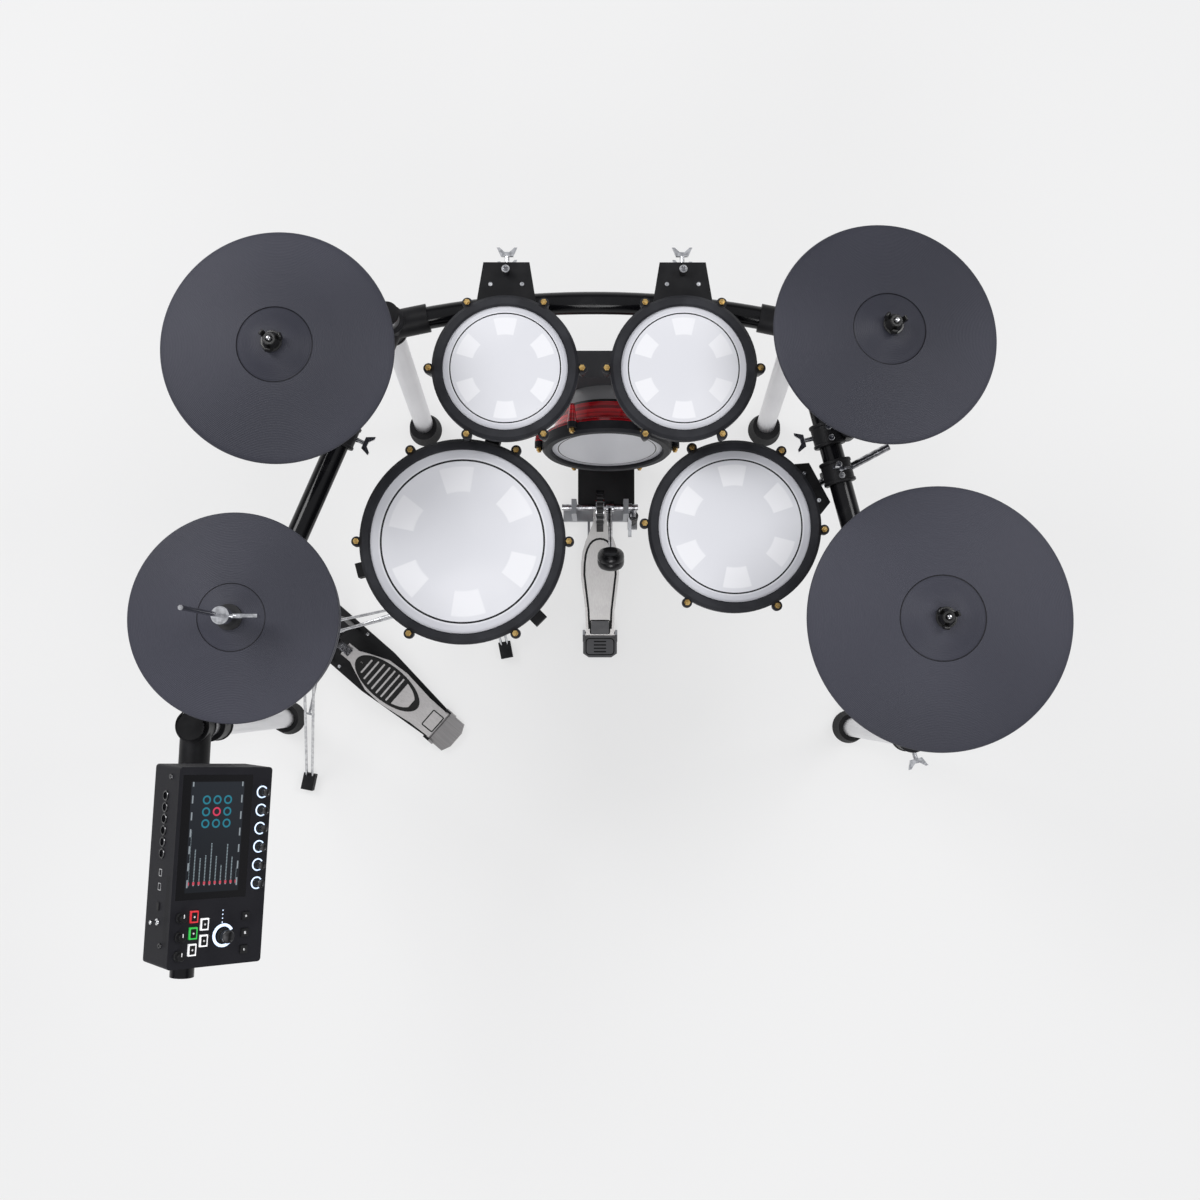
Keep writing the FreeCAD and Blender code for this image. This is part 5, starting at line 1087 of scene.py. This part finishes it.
# Keys: translucent lit caps with a dark window and a white mark in it, and three plain dark keys with a
# printed mark. Each one is pressed into the face.
def centred(half_x, half_y, corner):
    """The outline of a rounded rectangle about the origin."""
    return rounded((-half_x, -half_y), (half_x, half_y), corner)


KEY_RISE = 0.0024
WINDOW_DEPTH = 0.0004
MARK_DEPTH = 0.0003
DIAMOND = mm((1.8, 0), (0, 1.8), (-1.8, 0), (0, -1.8))
WHITE = (0.9, 0.9, 0.92)
LIT_KEYS = (("red", -0.255, -0.245, (0.62, 0.02, 0.03)), ("green", -0.255, -0.327, (0.02, 0.5, 0.06)),
            ("stop", -0.255, -0.409, WHITE), ("tap", -0.14, -0.286, WHITE), ("click", -0.14, -0.368, WHITE))
for name, x_share, y_share, colour in LIT_KEYS:
    lens = Finish(name + "_lens", colour, 0.28, glow=0.4)
    cloud = lens.noise(lens.place(), 180, 2)
    paler = tuple(min(1, level * 0.9 + 0.1) for level in colour)
    tint = lens.mix(cloud.soft(0.3, 0.8) * 0.5, colour, paler)
    lens.feed("Base Color", tint)
    lens.feed("Emission Color", tint)
    dress(lens, name + "_button")
    spot = on_face(x_share, y_share, KEY_RISE)
    window = plate(name + "_window", centred(0.0043, 0.0064, 0.001), WINDOW_DEPTH, spot)
    settle(window, inlay_black, name + "_button")
    spot = on_face(x_share, y_share, KEY_RISE + WINDOW_DEPTH)
    mark = plate(name + "_mark", DIAMOND, MARK_DEPTH, spot)
    settle(mark, white_mark, name + "_button")
key_skin = moulded("dark_key", (0.014, 0.014, 0.015), (0.022, 0.022, 0.023), 0.4, 900, 0.15)
dress(key_skin, "menu_button", "page_button", "back_button")
DARK_MARKS = (("menu", -0.26, DIAMOND), ("page", -0.345, centred(0.0014, 0.0019, 0.0005)),
              ("back", -0.43, centred(0.0009, 0.0016, 0.0004)))
for name, y_share, shape in DARK_MARKS:
    mark = plate(name + "_mark", shape, MARK_DEPTH, on_face(0.3, y_share, KEY_RISE))
    settle(mark, white_mark, name + "_button")

# Side panel: threaded nuts round the jacks, two port frames, a slide switch, a plated power post and the
# case's screws, all set into the panel.
SIDE = FACE @ at((FACE_SIZE[0] / -2, 0, -0.036)) @ turned("Y", -QUARTER)
NUT = mm((5.3, -0.6), (7.4, -0.6), (7.4, 0.9), (6.8, 1.5), (5.3, 1.5), (5.3, -0.6))
JACK_STEPS = 36
JACK_FIRST = 0.0172
JACK_PITCH = 0.0165
POST = mm((0, 11.8), (2.6, 11.8), (3.2, 11.2), (3.2, 7.8), (2.2, 7), (2.2, 2.2), (4.6, 1.8), (5, 1.2),
          (5, -0.4), (0, -0.4))
PORT = centred(0.0042, 0.0052, 0.0012)
PORT_DEPTH = 0.0006
PORT_BAND = 0.0009


def on_side(along, across=0.0, rise=0.0):
    """A place on the side panel, along it from the middle of the face."""
    return SIDE @ at((across, along, rise))


jack_plate = plated("jack_nut", (0.06, 0.06, 0.062), (0.16, 0.16, 0.165))
for number in range(6):
    spot = on_side(JACK_PITCH * (5 - number) + JACK_FIRST)
    settle(lathe("jack_nut_%d" % (number + 1), NUT, JACK_STEPS, spot), jack_plate)
for number, middle in enumerate((-0.01, -0.03)):
    port = plate("port_frame_%d" % (number + 1), PORT, PORT_DEPTH, on_side(middle), PORT_BAND)
    settle(port, chrome)
switch = plate("power_switch", centred(0.003, 0.0055, 0.001), 0.0016, on_side(-0.058))
settle(switch, knob_skin)
settle(lathe("power_post", POST, ROD_STEPS, on_side(-0.08)), chrome)
for number, middle in enumerate((-0.112, 0.128)):
    spot = on_side(middle, 0.012, -0.0002)
    settle(lathe("case_screw_%d" % (number + 1), SCREW_HEAD, SCREW_STEPS, spot), cap_skin)
